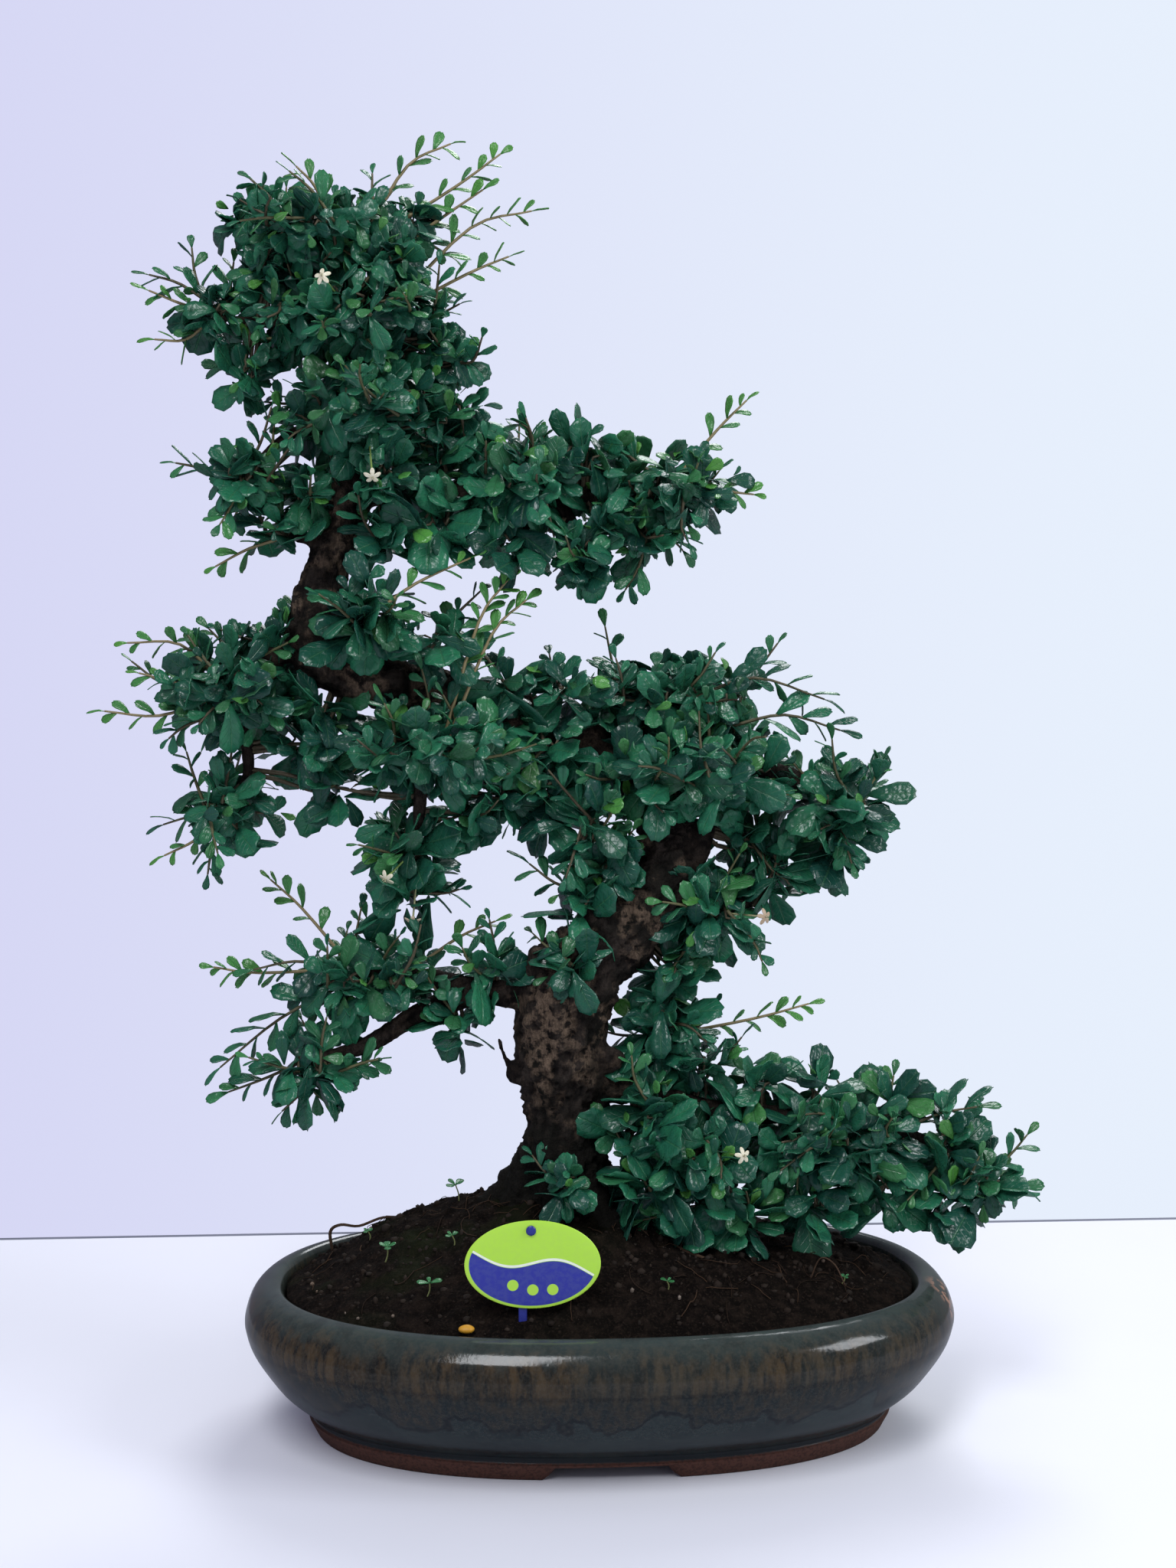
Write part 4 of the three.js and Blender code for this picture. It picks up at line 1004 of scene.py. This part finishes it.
def flowerShape(place, root, dry, v):
    # a five-lobed disc: its edge swings with the cosine of five half turns, its lobes bend back from the middle
    place, root = np.array(place, float), np.array(root, float)
    out = unit(place - root)
    flat = unit(np.cross(out, [0.2, 0.1, 1]))
    other = np.cross(out, flat)
    turn = turns(v["sides"])
    edge = v["radius"] * (0.30 + 0.70 * np.abs(np.cos(turn * v["petals"] / 2)) ** 1.1)
    share = np.array([0.12, 0.35, 0.6, 0.82, 0.96, 1.0, 0.98, 0.8, 0.5, 0.12])
    rise = np.array([1, 1, 1, 1, 0.8, 0, -0.8, -1, -1, -1]) * v["thickness"] / 2
    reach = share[:, None] * edge[None]
    level = rise[:, None] + 0.8 - 1.8 * (reach / v["radius"]) ** 2
    rings = place + reach[..., None] * turned(turn, flat, other) + level[..., None] * out
    cup = place + out * 0.4
    stalk = [[*cup, 1.5], [*(place - out * 2.5), 1.3], [*(place - out * 5), 0.7], [*root, 0.6]]
    parts = [
        closedRings(rings, place + out * 1.05, place + out * 0.5, [1, 0, dry], flip=True),
        tube(smoothLine(stalk, 12), 6, [0, 1 - dry * 0.6, dry * 0.5]),
    ]
    # one stamen for each petal
    for lean in out * 2.6 + turned(np.arange(v["petals"]) * v["fifth"], flat, other) * 1.1:
        line = np.array([[*cup, 0.2], [*(cup + lean * 0.8), 0.2], [*(cup + lean), 0.42]])
        parts.append(tube(line, 4, [0, 0.35, 0.25]))
    return join(parts)


for number, (place, root, dry) in enumerate(flowers, 1):
    form = flowerShape(place, root, dry, flowerValues)
    makePiece(f"blossom_{number}", form, petalSkin, [f"flower_{number}"])
print("flowers made")

# small things on the soil: x, y and size of each seedling, and each loose root as a line with its radius
seedlings = [
    [-139, -34, 1.0], [-95, -38, 0.7], [-150, 4, 0.6], [-112, -78, 0.9], [36, -86, 0.6], [148, -62, 0.5],
    [-92, 12, 1.1],
]
looseRoots = [
    [[-176, 30, 104, 1.0], [-177, 28, 118, 1.1], [-170, 26, 123, 1.0], [-158, 26, 122, 0.9], [-142, 24, 128, 0.9],
     [-126, 22, 128, 0.7]],
    [[-64, -66, 112, 1.0], [-54, -60, 126, 1.1], [-42, -52, 138, 1.1], [-31, -48, 149, 1.0]],
    [[128, -60, 106, 0.5], [134, -64, 122, 0.5], [142, -70, 120, 0.5], [148, -74, 108, 0.4]],
    [[40, -40, 126, 1.2], [62, -52, 120, 1.1], [84, -60, 113, 0.9]],
]


def seedlingShapes(seedling, rng):
    # a short stem with two pairs of small leaves
    x, y, size = seedling
    foot = np.array([x, y, groundAt(np.array([[x, y, 0.0]]))[0] - 1])
    top = foot + np.array([rng.uniform(-3, 3), -2, 11 * size])
    stem = [[*foot, 0.5], [*((foot + top) / 2 + [0.8, 0, 0]), 0.45], [*top, 0.4]]
    turn = np.array([0, 3.1, 1.5, 4.6]) + rng.uniform(0, 3)
    along = np.column_stack([np.cos(turn), np.sin(turn), [0.35, 0.35, 0.8, 0.8]])
    length = np.array([9, 9, 6, 6]) * size
    roots, facing, tint = (np.tile(row, (4, 1)) for row in (top, [0, -0.4, 1.0], [0.8, 0.30, 0.0]))
    blades = leaves(roots, along, facing, length, length * 0.5, np.full(4, 0.1), np.full(4, 0.2), tint)
    return tube(smoothLine(stem, 7), 4, [0, 0.8, 0]), blades


rng = np.random.default_rng(77)
stems, blades = zip(*[seedlingShapes(one, rng) for one in seedlings])
makePiece("loose_roots", join([tube(smoothLine(line, 26), 6, [0.02, 0.55, 0]) for line in looseRoots]), litter)
makePiece("seedling_stems", join(stems), twigSkin)
makePiece("seedling_leaves", join(blades), leafSkin, thickness=0.3)

# the label, the feed pellet and the drain netting
cardValues = dict(
    middle=[-48, -110, 135.8], half=[41, 27], thickness=1.0, sides=96, sharpAngle=35, lime=(0.42, 0.72, 0.055),
    blue=(0.022, 0.030, 0.30), line=(0.80, 0.85, 0.70), grain=(0.3, 0.4, 0.2),
    dots=[[-0.012, -0.0125], [0.0, -0.0155], [0.012, -0.0155]], dotRadius=0.0034,
)


def cardShape(v):
    # rings of an oval from the middle of the front over a rounded edge to the middle of the back
    turn = turns(v["sides"])
    inset = np.array([0.03, 0.3, 0.6, 0.85, 0.975, 0.993, 1.0, 1.0, 0.993, 0.975, 0.5, 0.03])[:, None]
    depth = np.array([0, 0, 0, 0, 0, 0.12, 0.35, 0.65, 0.88, 1, 1, 1])[:, None] * v["thickness"]
    middleX, front, middleZ = v["middle"]
    x = middleX + inset * v["half"][0] * np.cos(turn)
    z = middleZ + inset * v["half"][1] * np.sin(turn)
    y = front - 0.1 + np.repeat(depth, v["sides"], axis=1)
    ends = [[middleX, y[0, 0], middleZ], [middleX, y[-1, 0], middleZ]]
    return closedRings(np.stack([x, y, z], axis=-1), *ends, flip=True)


def cardFinish(v):
    # lime card with a blue lower part behind a sine wave, a pale line between them and three plain dots
    finish, tree, shader = newFinish("card", Roughness=0.32)
    x, _, z = split(tree, objectPlace(tree, origin=tuple(-toFrame(v["middle"]))))
    wave = times(tree, reckon(tree, "SINE", times(tree, x, 95)), 0.0045)
    level = plus(tree, plus(tree, z, wave, -1), x, 0.18)
    halfX, halfZ = (half * 0.001 for half in v["half"])
    within = ramp(tree, plus(tree, squared(tree, x, 1 / halfX), squared(tree, z, 1 / halfZ)), 0.885, 0.865)
    blue = times(tree, ramp(tree, level, 0.0002, -0.0002), within)
    line = times(tree, ramp(tree, away(tree, level, 0.001), 0.0009, 0.0006), within)
    colour = cover(tree, v["lime"], (blue, 1, v["blue"]), (line, 1, v["line"]))
    area = v["dotRadius"] ** 2
    for dotX, dotZ in v["dots"]:
        far = plus(tree, squared(tree, plus(tree, x, -dotX)), squared(tree, plus(tree, z, -dotZ)))
        colour = cover(tree, colour, (ramp(tree, far, area * 1.1, area * 0.9), 1, v["lime"]))
    grain, grainHeight = mottle(tree, objectPlace(tree), 300, 0.4, 0.6, 2)
    wire(tree, shader, cover(tree, colour, (grain, 0.05, v["grain"])), grainHeight, 0.05, 0.0005)
    return finish


card = makePiece("label_oval", cardShape(cardValues), cardFinish(cardValues), ["label_card"])
card.data.set_sharp_from_angle(angle=math.radians(cardValues["sharpAngle"]))
pegValues = dict(
    below=[-6, 2.2, -24], half=[2.5, 1.0, 46], edge=0.35, clipAt=[-1, -0.8, 21], clipHalf=[3.1, 1.3, 3.1],
    colour=(0.020, 0.030, 0.24),
)


def pegShape(middle, v):
    # a box with its four long edges cut off, in eight-sided rings from its foot to its top, and a round clip
    hx, hy, hz = v["half"]
    edge = v["edge"]
    corner = np.array([[hx, hy - edge], [hx - edge, hy]])
    ring = np.vstack([corner, corner[::-1] * [-1, 1], -corner, corner[::-1] * [1, -1]])
    shares = [[0.5, -1], [1, -1 + edge / hz * 3], [1, 1 - edge / hz], [0.6, 1]]
    rings = np.stack([np.column_stack([ring * s, np.full(8, hz * h)]) for s, h in shares])
    block = closedRings(rings, [0, 0, -hz], [0, 0, hz])
    block["points"] += np.array(middle) + v["below"]
    return join([block, lumps([np.array(middle) + v["clipAt"]], [v["clipHalf"]], np.zeros((1, 3)), 4, 14, 7, 0.02)])


stakeBlue = plasticFinish("stake", pegValues["colour"], 0.35)
makePiece("label_peg", pegShape(cardValues["middle"], pegValues), stakeBlue, ["label_stake"], smooth=False)


def pelletShape(half, around=24, levels=13):
    # a ball squeezed to a bean at the pellet's place in the frame, with a worn skin
    tilt = np.linspace(-np.pi / 2, np.pi / 2, levels)[1:-1]
    form = closedRings(ballRings(tilt, turns(around)) * half, [0, 0, -half[2]], [0, 0, half[2]])
    form["points"] *= 1 - 0.1 * noise(form["points"], 3, 2)[:, None]
    low, high = (np.array(corner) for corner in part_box("feed_pellet"))
    form["points"] += fromFrame((low + high) / 2)
    return form


feed = plasticFinish("feed", (0.62, 0.30, 0.02), 0.5)
makePiece("pellet", pelletShape([5.1, 3.9, 2.7]), feed, ["feed_pellet"])
netting = plasticFinish("netting", (0.012, 0.012, 0.012), 0.55)
for name in ("drain_mesh_1", "drain_mesh_2"):
    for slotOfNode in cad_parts[name].material_slots:
        slotOfNode.material = netting
print("label, pellet and netting made")

# floor, light and camera
stageValues = dict(
    floorHalf=2.6, floorBack=0.43, floor=(0.82, 0.82, 0.88), joint=(0.16, 0.17, 0.22), mirrored=(0.05, 0.06, 0.09),
    wallLeft=(0.66, 0.66, 0.90), wallRight=(0.80, 0.87, 0.98), wallLight=0.56, wallSeen=0.44, wallMirrored=-0.34,
)
paleBlue, paneBlue = (0.95, 0.97, 1.0), (0.93, 0.96, 1.0)
# each lamp: place, aim, size, watts and colour; the window on the right has three panes
lamps = {
    "window": [(-0.9, -2.6, 3.7), (0, 0, 0.35), (1.2, 2.6), 108, paleBlue],
    **{
        f"pane_{i + 1}": [(2.6, -1.6 + 0.45 * i, 1.9), (0, -0.4 + 0.45 * i, 0.3), (0.34, 1.2), 13, paneBlue]
        for i in range(3)
    },
    "back": [(0.9, 2.6, 3.0), (0, 0, 0.4), (1.8, 1.4), 60, paleBlue],
}
# the camera was matched to the pot's outline: focal length in rows of a picture 2048 rows high, angles in degrees
cameraValues = dict(
    place=[-0.0920, -1.3729, 0.527], down=4.6, turn=-3.5, focalRows=2807, rows=2048, sensor=36, near=0.05, far=50,
)


def layFloor(v):
    # a flat table with slight clouds and a dark joint at the wall; it is mirrored darker than it looks
    side, back = v["floorHalf"], v["floorBack"]
    mesh = bpy.data.meshes.new("floor")
    mesh.from_pydata([(-side, -side, 0), (side, -side, 0), (side, back, 0), (-side, back, 0)], [], [(0, 1, 2, 3)])
    finish, tree, shader = newFinish("floor", Roughness=0.55)
    cloud = mottle(tree, objectPlace(tree), 3, 0.3, 0.7, 3)[0]
    joint = ramp(tree, split(tree, objectPlace(tree))[1], back - 0.0065, back - 0.006)
    glossy = tree.nodes.new("ShaderNodeLightPath").outputs["Is Glossy Ray"]
    wire(tree, shader, cover(
        tree, v["floor"], (cloud, 0.25, darker(v["floor"], 0.94)), (joint, 1, v["joint"]), (glossy, 0.7, v["mirrored"])
    ))
    mesh.materials.append(finish)
    addObject("floor", mesh)


def paintWall(v):
    # one colour blends into the other across the view; the wall is bright, but lights and is mirrored less
    world = bpy.data.worlds.new("studio")
    bpy.context.scene.world = world
    world.use_nodes = True
    sky = world.node_tree
    inputs = sky.nodes["Background"].inputs
    across = split(sky, sky.nodes.new("ShaderNodeTexCoord").outputs["Generated"])[0]
    sky.links.new(mix(sky, ramp(sky, across, -0.35, 0.35), v["wallLeft"], v["wallRight"]), inputs[0])
    path = sky.nodes.new("ShaderNodeLightPath").outputs
    share = plus(sky, v["wallLight"], path["Is Camera Ray"], v["wallSeen"])
    sky.links.new(plus(sky, share, path["Is Glossy Ray"], v["wallMirrored"]), inputs[1])


def areaLight(name, place, aim, size, power, colour):
    # a rectangle of light turned from its place to its aim
    lamp = bpy.data.lights.new(name, "AREA")
    lamp.shape, lamp.size, lamp.size_y, lamp.energy, lamp.color = "RECTANGLE", *size, power, colour
    light = addObject(name, lamp)
    light.location = place
    x, y, z = np.array(aim) - np.array(place)
    light.rotation_euler = (math.atan2(math.hypot(x, y), -z), 0, math.atan2(-x, y))


def setCamera(v):
    # focal length in mm is the one in rows times the sensor's height over the picture's rows
    lens = bpy.data.cameras.new("camera")
    lens.sensor_fit, lens.sensor_height, lens.lens = "VERTICAL", v["sensor"], v["focalRows"] * v["sensor"] / v["rows"]
    lens.clip_start, lens.clip_end = v["near"], v["far"]
    camera = addObject("camera", lens)
    camera.location = v["place"] + potMiddle
    camera.rotation_euler = (math.radians(90 - v["down"]), 0, math.radians(v["turn"]))
    bpy.context.scene.camera = camera


layFloor(stageValues)
paintWall(stageValues)
for name, values in lamps.items():
    areaLight(name, *values)
setCamera(cameraValues)
bpy.context.scene.view_settings.view_transform = "Standard"
print("stage made")
